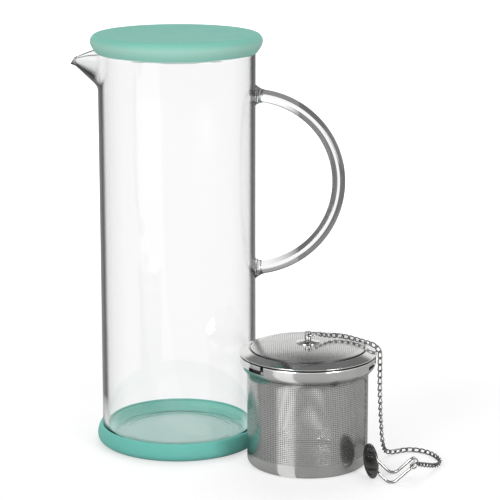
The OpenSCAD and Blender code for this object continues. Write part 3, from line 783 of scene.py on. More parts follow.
@dataclass
class GlassJug:
    """Glass tube with a closed bottom, a pulled spout and a rod handle."""

    finishes: Finishes
    radius: float = 50
    wall: float = 3
    foot_z: float = 3.15
    floor_z: float = 7
    rim_z: float = 255.8
    heel: float = 7
    inner_heel: float = 6
    ripple: float = 0.16
    ripple_from: float = 30
    ripple_pitch: float = 3.4
    ripple_ease: float = 3
    floor_rows: int = 39
    heel_rows: int = 14
    side_rows: int = 30
    spout_rows: int = 48
    rim_rows: int = 8
    columns_beside: int = 150
    column_step: float = 0.6
    spout_zone: float = 27
    spout_span: float = 24
    spout_blend: float = 3.0
    spout_z: float = 250.4
    spout_root: float = 17
    spout_tip: float = 3.8
    spout_reach: float = 14.2
    spout_lip: float = 4.0
    lip_margin: float = 0.5
    lip_width: float = 2.2
    rim_above: float = 2
    spout_fall: float = 3.7
    spout_end_z: float = 252.1
    spout_end_lean: float = 0.7
    spout_end_blend: float = 0.8
    channel_root: float = 13.8
    channel_tip: float = 2.2
    channel_wall: float = 1.9
    handle_radius: float = 56.3
    handle_x: float = 47
    handle_z: float = 171.3
    handle_sink: float = 0.4
    rod: float = 4.25
    rod_rows: int = 150
    rod_sides: int = 40
    pad: float = 7.0
    pad_length: float = 6.0
    pad_power: float = 1.8
    pad_gap: float = 0.02
    end_pull: float = 0.0764

    def pull_z(self) -> float:
        """Height above which the spout is pulled out of the wall."""
        return self.spout_z - self.spout_span

    def edge_z(self) -> float:
        """Height at which the rim's rounding starts."""
        return self.rim_z - self.wall / 2

    def columns(self) -> list[float]:
        """Angles round the axis, closer together at the spout.

        Returns:
            The angles, in radians.
        """
        count = int(2 * self.spout_zone / self.column_step)
        fine = [math.radians(180 - self.spout_zone + self.column_step * i) for i in range(count)]
        rest = math.radians(360 - 2 * self.spout_zone)
        start = math.radians(180 + self.spout_zone)
        return fine + [start + rest * i / self.columns_beside for i in range(self.columns_beside)]

    def spout_out(self, y: float, z: float) -> float:
        """How far the spout's outside reaches from the axis plane.

        Args:
            y: Place across the spout.
            z: Height.

        Returns:
            The reach.
        """
        across = math.hypot(y, z - self.spout_z)
        slope = (self.spout_root - self.spout_tip) / self.spout_reach
        cone = self.radius + (self.spout_root - max(across, self.spout_tip)) / slope
        lip = self.spout_lip * ease((self.spout_tip + self.lip_margin - across) / self.lip_width)
        end = self.radius + self.spout_reach + (self.spout_end_z - z) * self.spout_end_lean
        return -smooth_max(-cone - lip, -end, self.spout_end_blend)

    def spout_in(self, y: float, z: float) -> float:
        """How far the spout's channel reaches from the axis plane.

        Args:
            y: Place across the spout.
            z: Height.

        Returns:
            The reach.
        """
        across = math.hypot(y, z - self.spout_z)
        slope = (self.channel_root - self.channel_tip) / self.spout_reach
        return self.radius + (self.channel_root - max(across, self.channel_tip)) / slope

    def pulled(self, angle: float, radius: float, z: float, outside: bool) -> Point:
        """Place of a point of the wall after the spout is pulled out of it.

        Args:
            angle: Its angle round the axis.
            radius: Its distance from the axis.
            z: Its height.
            outside: Whether it is on the outside.

        Returns:
            The place.
        """
        x, y = radius * math.cos(angle), radius * math.sin(angle)
        if x > 0 or abs(y) > self.spout_span or z < self.pull_z():
            return x, y, z
        reach = self.spout_out(y, z)
        if not outside:
            thin = smooth_max(self.radius, reach, self.spout_blend) - self.channel_wall
            reach = min(self.spout_in(y, z), thin)
        return -smooth_max(-x, reach, self.spout_blend), y, z

    def rim_drop(self, angle: float) -> float:
        """How far the rim dips towards the spout's lip.

        Args:
            angle: Angle round the axis.

        Returns:
            The drop.
        """
        y = self.radius * math.sin(angle)
        if math.cos(angle) > 0 or abs(y) > self.spout_span:
            return 0.0
        circle = math.sqrt(self.radius**2 - y * y)
        reach = smooth_max(circle, self.spout_out(y, self.spout_z + self.rim_above), self.spout_blend)
        return self.spout_fall * (max(reach - circle, 0) / self.spout_reach) ** 2

    def ripple_at(self, r: float) -> float:
        """Height of the floor's ring ripples at a distance from the axis."""
        out = max(r - self.ripple_from, 0.0)
        return self.ripple * math.sin(out * 2 * math.pi / self.ripple_pitch) * ease(out / self.ripple_ease)

    def body_rows(self, outside: bool) -> Profile:
        """Rows of the wall, from the middle of the bottom to the rim.

        Args:
            outside: Whether they are on the outside.

        Returns:
            Radius and height of each row.
        """
        radius = self.radius if outside else self.radius - self.wall
        base = self.foot_z if outside else self.floor_z
        heel = self.heel if outside else self.inner_heel
        rows: Profile = []
        for i in range(1, self.floor_rows + 1):
            r = (radius - heel) * i / self.floor_rows
            rows.append((r, base if outside else base + self.ripple_at(r)))
        rows += arc((radius - heel, base + heel), heel, -90, 0, self.heel_rows)[1:]
        low = base + heel
        for high, count in ((self.pull_z(), self.side_rows), (self.edge_z(), self.spout_rows)):
            rows += [(radius, low + (high - low) * i / count) for i in range(1, count + 1)]
            low = high
        return rows

    def lowered(self, z: float, drop: float) -> float:
        """Height of a row of the wall where the rim is lower by a drop."""
        share = max(z - self.pull_z(), 0.0) / (self.edge_z() - self.pull_z())
        return z - drop * share**3

    def body(self) -> Piece:
        """Builds the glass body as one closed shell.

        Returns:
            The piece.
        """
        sketch = Sketch()
        angles = self.columns()
        drops = [self.rim_drop(a) for a in angles]
        edges: list[list[int]] = []
        for outside in (True, False):
            rows = [[sketch.point(0, 0, self.foot_z if outside else self.floor_z)]]
            for r, z in self.body_rows(outside):
                row = []
                for a, drop in zip(angles, drops):
                    row.append(sketch.point(*self.pulled(a, r, self.lowered(z, drop), outside)))
                rows.append(row)
            sketch.loft(rows)
            edges.append(rows[-1])
        outer, inner = edges
        rim = [outer]
        for k in range(1, self.rim_rows):
            turn = math.pi * k / self.rim_rows
            row = []
            for o, i in zip(outer, inner):
                one, two = Vector(sketch.points[o]), Vector(sketch.points[i])
                middle, half = (one + two) / 2, (one - two) / 2
                lift = min(half.length, self.wall / 2) * math.sin(turn)
                place = middle + half * math.cos(turn)
                row.append(sketch.point(place.x, place.y, place.z + lift))
            rim.append(row)
        sketch.loft([*rim, inner])
        return sketch.make("glass_body", ROUND_EDGE)

    def handle(self) -> Piece:
        """Builds the rod handle with its flared pads, a hair off the wall.

        Returns:
            The piece.
        """
        sketch = Sketch()
        first = math.asin((self.radius - self.handle_sink - self.handle_x) / self.handle_radius)
        sweep = math.pi - 2 * first
        wall = self.radius + self.pad_gap
        rows: list[list[int]] = []
        for i in range(self.rod_rows + 1):
            t = i / self.rod_rows
            t = t - self.end_pull * math.sin(2 * math.pi * t)
            turn = first + sweep * min(max(t, 0), 1)
            end = min(t, 1 - t) * self.handle_radius * sweep
            flare = (1 - min(end / self.pad_length, 1)) ** self.pad_power
            size = self.rod + (self.pad - self.rod) * flare
            row = []
            for across, side in spokes(self.rod_sides):
                out = self.handle_radius + size * across
                y = size * side
                x = max(self.handle_x + out * math.sin(turn), math.sqrt(wall**2 - y * y))
                row.append(sketch.point(x, y, self.handle_z + out * math.cos(turn)))
            rows.append(row)
        sketch.loft(rows)
        for row in (rows[0], rows[-1]):
            z = sum(sketch.points[i][2] for i in row) / len(row)
            sketch.strip([sketch.point(wall, 0, z)], row, True)
        return sketch.make("glass_handle", ROUND_EDGE)

    def build(self) -> None:
        """Builds and dresses the jug."""
        body, handle = self.body(), self.handle()
        dress(body, self.finishes.glass, Body.JUG, Slot.GLASS, "jug_glass")
        dress(handle, self.finishes.rod, Body.JUG, Slot.GLASS, "jug_handle")
        for piece in (body, handle):
            piece.visible_shadow = False
            piece.visible_diffuse = False


@dataclass
class Boot:
    """Silicone boot that the jug stands in."""

    finishes: Finishes
    radius: float = 53.5
    belly_z: float = 5
    height: float = 12
    bore: float = 50.3
    lip: float = 0.9
    lip_round: float = 0.45
    lip_size: float = 0.44
    lip_turn: float = 20
    side_short: float = 3
    floor_z: float = 3
    floor_r: float = 42
    heel_x: float = 43
    heel_z: float = 2.7
    heel: float = 7.3
    hollow: float = 0.4
    hollow_r: float = 34
    foot_in: float = 34.6
    foot_out: float = 40
    inside_z: float = 1

    def shell(self) -> Piece:
        """Builds the boot.

        Returns:
            The piece.
        """
        draw = self.radius - self.bore - self.lip
        rise = self.height - self.belly_z
        side = (rise * rise + draw * draw) / (2 * draw)
        top = math.degrees(math.asin(rise / side))
        lip = (self.bore + self.lip_round, self.height - self.lip_round)
        profile: Profile = [(0, self.hollow), (self.hollow_r, self.hollow)]
        profile += [(self.foot_in, 0), (self.foot_out, 0)]
        profile += arc((self.radius - self.belly_z, self.belly_z), self.belly_z, -90, 0, steps=16)
        profile += arc((self.radius - side, self.belly_z), side, 0, top - self.side_short, steps=12)[1:]
        profile += arc(lip, self.lip_size, self.lip_turn, 180, steps=6)
        profile += arc((self.heel_x, self.heel_z + self.heel), self.heel, 0, -90, steps=14)
        profile += [(self.floor_r, self.heel_z), (self.floor_r, self.floor_z), (0, self.floor_z)]
        return turned("boot_shell", profile, 256, CRISP_EDGE)

    def build(self) -> None:
        """Builds the boot and dresses it, with a paler copy of its silicone on its inside as painted light,
        and a darker copy on its floor as painted shade.
        """
        piece = self.shell()
        dress(piece, self.finishes.boot, Body.BOOT, Slot.BOOT, "base_boot")
        for material in (self.finishes.boot_inside_painted_light, self.finishes.boot_floor):
            piece.data.materials.append(material)
        # Faces in the bore take the painted-light copy, and those on the floor the painted-shade copy.
        for face in piece.data.polygons:
            x, y, z = (value / MM for value in face.center)
            if z > self.inside_z and math.hypot(x, y) < self.bore:
                face.material_index = 2 if math.hypot(x, y) < self.heel_x else 1


@dataclass
class JugLid:
    """Matte lid with a rounded ridge, and the seal ring under it."""

    finishes: Finishes
    low_z: float = 256.0
    top_z: float = 267.0
    foot: float = 51.5
    edge: float = 0.3
    ridge: float = 54.6
    ridge_z: float = 262.5
    side_power: float = 1.1
    shoulder: float = 4.5
    steps: int = 14
    lip: float = 0.6
    lip_r: float = 50.45
    lip_draft: float = 0.2
    notch: float = 20
    notch_gap: float = 0.1
    dish: float = 1.2
    plate: float = 3.4
    bore: float = 46.7
    seat: float = 2.4
    seal: float = 46.6
    seal_inside: float = 44.0
    seal_low: float = 253.6
    seal_draft: float = 0.5
    ribs: tuple[Point, ...] = (
        (0.0, 0.7, 0.3),
        (0.7, 1.3, 0.3),
        (0.0, 2.0, 0.3),
        (0.7, 2.7, 0.3),
        (0.0, 3.3, 0.2),
    )

    def cap(self) -> Piece:
        """Builds the cap, whose lip leaves the spout free.

        Returns:
            The piece.
        """
        foot_z = self.low_z - self.lip
        side_z = foot_z + self.edge
        seat_z = self.low_z + self.seat
        middle_z = self.top_z - self.dish
        under = middle_z - self.plate
        profile: Profile = [(self.bore, self.low_z), (self.lip_r, self.low_z), (self.lip_r, side_z)]
        profile += [(self.lip_r + self.lip_draft, foot_z), (self.foot - self.edge, foot_z)]
        for k in range(self.steps):
            u = k / self.steps
            out = self.foot + (self.ridge - self.foot) * math.sin(u * math.pi / 2) ** self.side_power
            profile.append((out, side_z + (self.ridge_z - side_z) * u))
        crown = self.ridge - self.shoulder
        profile += arc((crown, self.ridge_z), self.shoulder, 0, 90, steps=12)
        for k in range(1, self.steps):
            share = 1 - k / self.steps
            profile.append((crown * share, self.top_z - self.dish * (1 - share * share)))
        profile += [(0, middle_z), (0, under), (self.seal_inside, under)]
        profile += [(self.seal_inside, seat_z), (self.bore, seat_z)]
        sketch = Sketch()
        sketch.revolve(profile, 256)
        free_z = self.low_z - self.notch_gap
        for i, (x, y, z) in enumerate(sketch.points):
            if x < 0 and abs(y) < self.notch and z < free_z:
                sketch.points[i] = (x, y, free_z)
        return sketch.make("cap_shell", SOFT_EDGE)

    def ring(self) -> Piece:
        """Builds the seal ring with its soft ribs.

        Returns:
            The piece.
        """
        low, high = self.seal_low, self.low_z + self.seat
        corners = [(self.seal_inside, low, 0.5), (self.seal - self.seal_draft, low, 0.4)]
        corners += [(self.seal - inward, low + up, radius) for inward, up, radius in self.ribs]
        corners += [(self.seal, high, 0), (self.seal_inside, high, 0)]
        return turned("cap_seal_ring", rounded(corners), 192, SOFT_EDGE)

    def build(self) -> None:
        """Builds and dresses the lid."""
        dress(self.cap(), self.finishes.cap, Body.JUG_LID, Slot.CAP, "lid_cap")
        dress(self.ring(), self.finishes.seal, Body.JUG_LID, Slot.SEAL, "lid_seal")


# Edge of a hole of radius 1, from the corner of its cell on.
HOLE_SIDES = 8
HOLE = spokes(HOLE_SIDES, math.radians(-112.5))


def plain_cell(sketch: Sketch, corners: Sequence[Sequence[int]]) -> None:
    """Adds the two faces of a cell without a hole, from its corners outside and inside."""
    sketch.faces += [tuple(corners[0]), tuple(reversed(corners[1]))]


def pierced_cell(
    sketch: Sketch,
    corners: Sequence[Sequence[int]],
    rings: Sequence[Sequence[int]],
) -> None:
    """Adds the faces of one cell of perforated sheet.

    Args:
        sketch: Where the points are.
        corners: Four corners on the outside, and four on the inside, counter-clockwise.
        rings: Points of the hole's edge on the outside and on the inside.
    """
    for side in (0, 1):
        corner, ring = corners[side], rings[side]
        for k in range(4):
            one, two = 2 * k, 2 * k + 1
            after = (k + 1) % 4
            face = (corner[k], corner[after], ring[two], ring[one])
            wedge = (corner[after], ring[(two + 1) % HOLE_SIDES], ring[two])
            for loop in (face, wedge):
                sketch.faces.append(loop if side == 0 else tuple(reversed(loop)))
    sketch.strip(rings[0], rings[1], True)


@dataclass
class PiercedDisc:
    """Round perforated sheet, with a turned rim that carries on from its edge."""

    origin: Point
    radius: float
    pitch: float
    hole: float
    plain: float
    upper: Callable[[float], float]
    lower: Callable[[float], float]
    rim: Profile
    overhang: float = 0.4

    def cells(self) -> list[Key]:
        """Cells of the sheet, up to a part of a cell over its edge.

        Returns:
            Column and row of each.
        """
        span = int(self.radius / self.pitch) + 2
        cells = []
        for i in range(-span, span):
            for j in range(-span, span):
                far = max(math.hypot(i + a, j + b) for a, b in CELL) * self.pitch
                if far <= self.radius + self.overhang * self.pitch:
                    cells.append((i, j))
        return cells

    def sketch(self) -> Sketch:
        """Builds the sheet.

        Returns:
            The finished sketch.
        """
        sketch = Sketch(self.origin)
        cells = self.cells()
        kept = set(cells)
        spots: dict[Key, tuple[float, float, bool]] = {}
        for i, j in cells:
            for a, b in CELL:
                u, v = i + a, j + b
                edge = any((u - c, v - d) not in kept for c, d in CELL)
                size = self.radius / math.hypot(u, v) if edge else self.pitch
                spots[u, v] = (u * size, v * size, edge)
        levels = (self.upper, self.lower)
        numbers = [
            {key: sketch.point(x, y, level(math.hypot(x, y))) for key, (x, y, _) in spots.items()}
            for level in levels
        ]
        for i, j in cells:
            keys = [(i + a, j + b) for a, b in CELL]
            corners = [[side[key] for key in keys] for side in numbers]
            mx, my = (i + 0.5) * self.pitch, (j + 0.5) * self.pitch
            if any(spots[key][2] for key in keys) or math.hypot(mx, my) < self.plain:
                plain_cell(sketch, corners)
                continue
            places = [(mx + self.hole * x, my + self.hole * y) for x, y in HOLE]
            rings = [[sketch.point(x, y, level(math.hypot(x, y))) for x, y in places] for level in levels]
            pierced_cell(sketch, corners, rings)
        self.add_rim(sketch, spots, numbers, kept)
        return sketch

    def add_rim(
        self,
        sketch: Sketch,
        spots: dict[Key, tuple[float, float, bool]],
        numbers: list[dict[Key, int]],
        kept: set[Key],
    ) -> None:
        """Carries the sheet's edge on along the rim's outline.

        Args:
            sketch: Where the faces go.
            spots: Places of the lattice's points, and whether each is on the edge.
            numbers: Numbers of these points above and below.
            kept: Cells of the sheet.
        """
        chains: dict[Key, list[int]] = {}
        for key, (x, y, edge) in spots.items():
            if edge:
                turn = math.atan2(y, x)
                loop = [sketch.point(r * math.cos(turn), r * math.sin(turn), z) for r, z in self.rim]
                chains[key] = [numbers[0][key], *loop, numbers[1][key]]
        for i, j in kept:
            keys = [(i + a, j + b) for a, b in CELL]
            for k, (a, b) in enumerate(BESIDE):
                if (i + a, j + b) not in kept:
                    sketch.strip(chains[keys[(k + 1) % 4]], chains[keys[k]], False)


@dataclass
class Basket:
    """Steel infuser basket: pressed pan, perforated wall and slotted collar."""

    finishes: Finishes
    origin: Point
    radius: float = 38.2
    sheet: float = 0.6
    pan_h: float = 8
    heel: float = 3.5
    foot: float = 32.1
    lift: float = 0.8
    press: float = 0.2
    press_low: float = 0.1
    pan_band: float = 0.8
    flare_z: float = 56.5
    flare_h: float = 10.5
    flare_out: float = 4.8
    collar_h: float = 3.3
    collar_edge: tuple[float, ...] = (0.9, 0.25, 0.0)
    edge_soft: float = 0.12
    bend_rows: int = 8
    column_step: float = 1.6
    pitch: float = 1.25
    hole: float = 0.4
    mesh_top: float = 64.2
    mesh_band: float = 0.7
    panels: int = 4
    seam_bearing: float = 45
    slots: int = 3
    slot_low: float = 65.3
    slot_w: float = 2.6
    slot_bearing: float = -133
    twist: float = 15

    def pan(self) -> Piece:
        """Builds the pan with its perforated floor.

        Returns:
            The piece.
        """
        heel = (self.radius - self.heel, self.heel)
        edge = self.foot - self.lift
        top = self.lift + self.sheet
        rim: Profile = [(edge + self.press, top - self.press), (self.foot + self.sheet, self.sheet)]
        rim += arc(heel, self.heel - self.sheet, -90, 0, steps=10)
        rim += [(self.radius - self.sheet, self.pan_h), (self.radius, self.pan_h)]
        rim += arc(heel, self.heel, 0, -90, steps=12)
        rim += [(self.foot, 0), (edge - self.press, self.lift - self.press_low)]
        disc = PiercedDisc(
            self.origin,
            radius=edge - self.pan_band,
            pitch=self.pitch,
            hole=self.hole,
            plain=0,
            upper=lambda r: top,
            lower=lambda r: self.lift,
            rim=rim,
        )
        return disc.sketch().make("basket_pan_floor", CRISP_EDGE)

    def wall_line(self, along: float, depth: float) -> Pair:
        """Radius and height of the wall at a distance up from its lower edge.

        Args:
            along: Distance along the wall.
            depth: Depth into the sheet.

        Returns:
            The radius and the height.
        """
        straight = self.flare_z - self.pan_h
        bend = self.flare_bend()
        if along <= straight:
            return self.radius - depth, self.pan_h + along
        turn = (along - straight) / bend
        half = math.asin(self.flare_h / 2 / bend)
        if turn <= half:
            reach = bend + depth
            return self.radius + bend - reach * math.cos(turn), self.flare_z + reach * math.sin(turn)
        reach = bend - depth
        back = turn - 2 * half
        middle = self.radius + self.flare_out - bend
        return middle + reach * math.cos(back), self.flare_z + self.flare_h + reach * math.sin(back)

    def flare_bend(self) -> float:
        """Radius of the flare's two bends."""
        return (self.flare_h**2 + self.flare_out**2) / (4 * self.flare_out)

    def mesh_turn(self) -> float:
        """Angle of the upper bend where the perforated sheet ends, in radians below level."""
        return math.asin((self.flare_z + self.flare_h - self.mesh_top) / self.flare_bend())

    def wall_length(self) -> float:
        """Length of the wall's outline from the pan to the collar."""
        sweep = 2 * math.asin(self.flare_h / 2 / self.flare_bend()) - self.mesh_turn()
        return self.flare_z - self.pan_h + self.flare_bend() * sweep

    def wall_panel(self, index: int) -> Piece:
        """Builds one panel of the perforated wall.

        Args:
            index: Number of the panel.

        Returns:
            The piece.
        """
        sketch = Sketch(self.origin)
        across = round(2 * math.pi * self.radius / self.pitch / self.panels)
        step = 2 * math.pi / self.panels / across
        start = 2 * math.pi * index / self.panels + math.radians(self.seam_bearing)
        length = self.wall_length()
        pierced = length - 2 * self.mesh_band
        up = round(pierced / self.pitch)
        levels = [0.0, *[self.mesh_band + pierced / up * k for k in range(up + 1)], length]

        def place(turn: float, along: float, depth: float) -> int:
            """Adds a point of the wall."""
            r, z = self.wall_line(along, depth)
            return sketch.point(r * math.cos(turn), r * math.sin(turn), z)

        sides = (0.0, self.sheet)
        grid = [[[place(start + step * i, v, d) for i in range(across + 1)] for v in levels] for d in sides]
        for k in range(len(levels) - 1):
            for i in range(across):
                corners = [[side[k + b][i + a] for a, b in CELL] for side in grid]
                if k in (0, len(levels) - 2):
                    plain_cell(sketch, corners)
                    continue
                turn = start + step * (i + 0.5)
                along = (levels[k] + levels[k + 1]) / 2
                spots = [(turn + self.hole * x / self.radius, along + self.hole * y) for x, y in HOLE]
                rings = [[place(*spot, d) for spot in spots] for d in sides]
                pierced_cell(sketch, corners, rings)
        for k in (0, len(levels) - 1):
            sketch.strip(grid[0][k], grid[1][k], False)
        for i in (0, across):
            sketch.strip([row[i] for row in grid[0]], [row[i] for row in grid[1]], False)
        return sketch.make(f"basket_mesh_{index + 1}", CRISP_EDGE)

    def collar(self) -> Piece:
        """Builds the collar with its bayonet slots.

        Returns:
            The piece.
        """
        sketch = Sketch(self.origin)
        bend, turn = self.flare_bend(), self.mesh_turn()
        radius = self.radius + self.flare_out
        centre = (radius - bend, self.flare_z + self.flare_h)
        top = centre[1] + self.collar_h
        slot_top = self.slot_low + self.slot_w
        turns = [turn * (k / self.bend_rows - 1) for k in range(self.bend_rows + 1)]
        bent = {centre[1] + bend * math.sin(a) for a in turns}
        along = [*sorted(bent | {self.slot_low}), slot_top, *[top - down for down in self.collar_edge]]
        lock = math.degrees(self.slot_w / 2 / radius)
        entries = [self.slot_bearing + 360 / self.slots * k for k in range(self.slots)]
        marks = sorted(entry + off for entry in entries for off in (-self.twist - lock, -lock, lock))
        angles: list[float] = []
        for one, two in zip(marks, [*marks[1:], marks[0] + 360]):
            count = max(2, round((two - one) / self.column_step))
            angles += [one + (two - one) * i / count for i in range(count)]
        ways = [(math.cos(math.radians(t)), math.sin(math.radians(t))) for t in angles]

        def row(z: float, depth: float) -> list[int]:
            """Adds one ring of points.

            Args:
                z: Its height on the outside.
                depth: Its depth into the sheet.

            Returns:
                The numbers of its points.
            """
            soft = self.edge_soft if z == top else 0.0
            inward = depth + (soft if depth == 0 else -soft)
            r, height = radius - inward, z
            if z < centre[1]:
                a = math.asin((z - centre[1]) / bend)
                r = centre[0] + (bend - inward) * math.cos(a)
                height = centre[1] + (bend - inward) * math.sin(a)
            return [sketch.point(r * x, r * y, height) for x, y in ways]

        def open_cell(low: float, high: float, angle: float) -> bool:
            """Whether a cell is inside a slot.

            Args:
                low: Height of its lower side.
                high: Height of its upper side.
                angle: Angle of its middle, in degrees.

            Returns:
                True in an entry or in the run that turns off from it.
            """
            if low < self.slot_low - TINY:
                return False
            back = self.twist if high <= slot_top + TINY else 0.0
            return any(-back - lock < (angle - entry + 180) % 360 - 180 < lock for entry in entries)

        outer = [row(z, 0.0) for z in along]
        inner = [row(z, self.sheet) for z in along]
        count = len(angles)
        solid: dict[Key, bool] = {}
        for k in range(len(along) - 1):
            for i in range(count):
                ahead = angles[(i + 1) % count] + (360 if i + 1 == count else 0)
                solid[k, i] = not open_cell(along[k], along[k + 1], (angles[i] + ahead) / 2)
        for (k, i), keep in solid.items():
            if not keep:
                continue
            corners = [[side[k + b][(i + a) % count] for a, b in CELL] for side in (outer, inner)]
            plain_cell(sketch, corners)
            for n, (a, b) in enumerate(BESIDE):
                if not solid.get((k + b, (i + a) % count), False):
                    (one, two), (three, four) = ([side[(n + 1) % 4], side[n]] for side in corners)
                    sketch.faces.append((one, two, four, three))
        return sketch.make("basket_collar_band", CRISP_EDGE)

    def build(self) -> None:
        """Builds and dresses the basket."""
        dress(self.pan(), self.finishes.sheet, Body.BASKET, Slot.STEEL, "basket_pan")
        for index in range(self.panels):
            panel = self.wall_panel(index)
            dress(panel, self.finishes.mesh, Body.BASKET, Slot.PERFORATED, "basket_wall")
        dress(self.collar(), self.finishes.sheet, Body.BASKET, Slot.STEEL, "basket_collar")


@dataclass
class InfuserLid:
    """Bayonet lid of the basket: sloping rim, perforated dome, studs and finial."""

    finishes: Finishes
    origin: Point
    sheet: float = 0.6
    flange_r: float = 43.4
    flange_z: float = 71.5
    flange_edge: float = 0.55
    slope_r: float = 39.7
    slope_z: float = 73.55
    crest_r: float = 37.3
    crest_z: float = 74.5
    crest_in: float = 37.0
    ledge_r: float = 35.5
    ledge_z: float = 73.7
    skirt_r: float = 41.6
    skirt_z: float = 65.0
    skirt_top: float = 0.45
    skirt_gap: float = 0.05
    dome_r: float = 36.1
    dome_top: float = 78.05
    dome_rise: float = 3.0
    dome_seat: float = 0.06
    dome_band: float = 1.4
    dome_lip: float = 0.8
    dome_foot: float = 0.6
    seam_shade_width: float = 0.1
    pitch: float = 1.25
    hole: float = 0.27
    studs_count: int = 3
    stud_z: float = 66.6
    stud_r: float = 1.0
    stud_root: float = 0.2
    stud_end: float = 43.0
    stud_head: tuple[Pair, ...] = ((0.35, 1.0), (0.1, 0.85), (0.02, 0.5))
    stud_bearing: float = -133
    washer_r: float = 7.4
    washer_h: float = 1.4
    washer_bore: float = 1.1
    washer_edge: float = 0.4
    washer_margin: float = 0.6
    washer_bend: Pair = (0.62, 1.0)
    post_r: float = 2.1
    post_z: float = 79.65
    post_h: float = 5.4
    post_foot: float = 0.3
    post_bore: Pair = (1.08, 1.45)
    groove: tuple[Pair, ...] = ((0.0, 0.9), (0.18, 1.0), (0.18, 1.3), (0.0, 1.4))
    eye_z: float = 82.95
    eye_r: float = 1.1
    ring_bearing: float = 25

    def rim(self) -> Piece:
        """Builds the sloping rim with the ledge that carries the dome.

        Returns:
            The piece.
        """
        under = self.ledge_z - self.sheet
        corners = [
            (self.flange_r, self.flange_z, 0.2),
            (self.flange_r, self.flange_z + self.flange_edge, 0.3),
            (self.slope_r, self.slope_z, 5.0),
            (self.crest_r, self.crest_z, 0.3),
            (self.crest_in, self.crest_z, 0.15),
            (self.crest_in, self.ledge_z, 0),
            (self.ledge_r, self.ledge_z, 0),
            (self.ledge_r, under, 0.1),
            (self.crest_r, under, 0.3),
            (self.skirt_r, self.flange_z + self.skirt_gap, 0.3),
        ]
        return turned("lid_rim", rounded(corners), 256, CRISP_EDGE, self.origin)

    def skirt(self) -> Piece:
        """Builds the skirt that goes into the collar.

        Returns:
            The piece.
        """
        top = self.flange_z + self.skirt_top
        inside = self.skirt_r - self.sheet
        corners = [(inside, self.skirt_z, 0.2), (self.skirt_r, self.skirt_z, 0.2)]
        corners += [(self.skirt_r, top, 0), (inside, top, 0)]
        return turned("lid_skirt", rounded(corners), 192, CRISP_EDGE, self.origin)

    def dome(self) -> Piece:
        """Builds the perforated dome, whose edge is a near-black seam of painted shade.

        Returns:
            The piece.
        """
        ball = (self.dome_r**2 + self.dome_rise**2) / (2 * self.dome_rise)
        middle = self.dome_top - ball

        def upper(r: float) -> float:
            """Height of the dome's top side."""
            return middle + math.sqrt(ball * ball - r * r)

        def lower(r: float) -> float:
            """Height of the dome's underside."""
            return middle + math.sqrt((ball - self.sheet) ** 2 - r * r)

        edge, high = self.dome_r, upper(self.dome_r)
        lip = edge - self.dome_lip
        seat = self.ledge_z + self.dome_seat
        rim = [(lip, upper(lip)), (edge - 0.25, high - 0.01), (edge - 0.06, high - 0.08), (edge, high - 0.22)]
        rim += [(edge, seat), (edge - self.dome_foot, seat), (lip, lower(lip))]
        disc = PiercedDisc(
            self.origin,
            radius=edge - self.dome_band,
            pitch=self.pitch,
            hole=self.hole,
            plain=self.washer_r + self.washer_margin,
            upper=upper,
            lower=lower,
            rim=rim,
        )
        dome = disc.sketch().make("lid_mesh_dome", CRISP_EDGE)
        ox, oy, _ = self.origin
        # Upright faces at the dome's edge take the near-black steel: painted shade in the groove.
        for face in dome.data.polygons:
            out = math.hypot(face.center.x / MM - ox, face.center.y / MM - oy)
            if out > edge - self.seam_shade_width and abs(face.normal.z) < 0.5:
                face.material_index = 1
        return dome

    def studs(self) -> Piece:
        """Builds the studs with their rounded heads.

        Returns:
            The piece.
        """
        sketch = Sketch(self.origin)
        rows = [(self.skirt_r - self.stud_root, self.stud_r)]
        rows += [(self.stud_end - back, self.stud_r * share) for back, share in self.stud_head]
        for k in range(self.studs_count):
            sketch.rod(self.stud_bearing + 360 / self.studs_count * k, self.stud_z, rows, sides=24)
        return sketch.make("lid_studs")

    def washer(self) -> Piece:
        """Builds the finial's low round washer.

        Returns:
            The piece.
        """
        base, top = self.dome_top, self.dome_top + self.washer_h
        share, up = self.washer_bend
        corners = [
            (self.washer_bore, base, 0),
            (self.washer_r, base, 0.12),
            (self.washer_r, base + self.washer_edge, 0.25),
            (self.washer_r * share, base + up, 4.0),
            (self.post_r + self.post_foot, top, 0.6),
            (self.washer_bore, top, 0),
        ]
        return turned("finial_disc", rounded(corners), 96, CRISP_EDGE, self.origin)

    def post(self) -> Piece:
        """Builds the finial's post with its cross hole.

        Returns:
            The piece.
        """
        low, top, radius = self.post_z, self.post_z + self.post_h, self.post_r
        bore, deep = self.post_bore
        corners = [(bore, low, 0), (radius, low, 0.25)]
        corners += [(radius - inward, low + up, 0.1) for inward, up in self.groove]
        corners += [(radius, top, 0.7), (0, top, 0), (0, low + deep, 0), (bore, low + deep, 0)]
        post = turned("finial_knob", rounded(corners), 64, CRISP_EDGE, self.origin)
        drill = Sketch(self.origin)
        ends = [(-2 * radius, self.eye_r), (2 * radius, self.eye_r)]
        drill.rod(self.ring_bearing + 90, self.eye_z, ends, sides=40)
        cutter = drill.make("eye_drill")
        cut = post.modifiers.new("eye", "BOOLEAN")
        cut.operation = "DIFFERENCE"
        cut.solver = "EXACT"
        cut.object = cutter
        bpy.context.view_layer.update()
        shaped = post.evaluated_get(bpy.context.evaluated_depsgraph_get())
        mesh = bpy.data.meshes.new_from_object(shaped)
        post.modifiers.clear()
        post.data = mesh
        mesh.shade_smooth()
        mesh.set_sharp_from_angle(angle=math.radians(CRISP_EDGE))
        bpy.data.objects.remove(cutter)
        return post

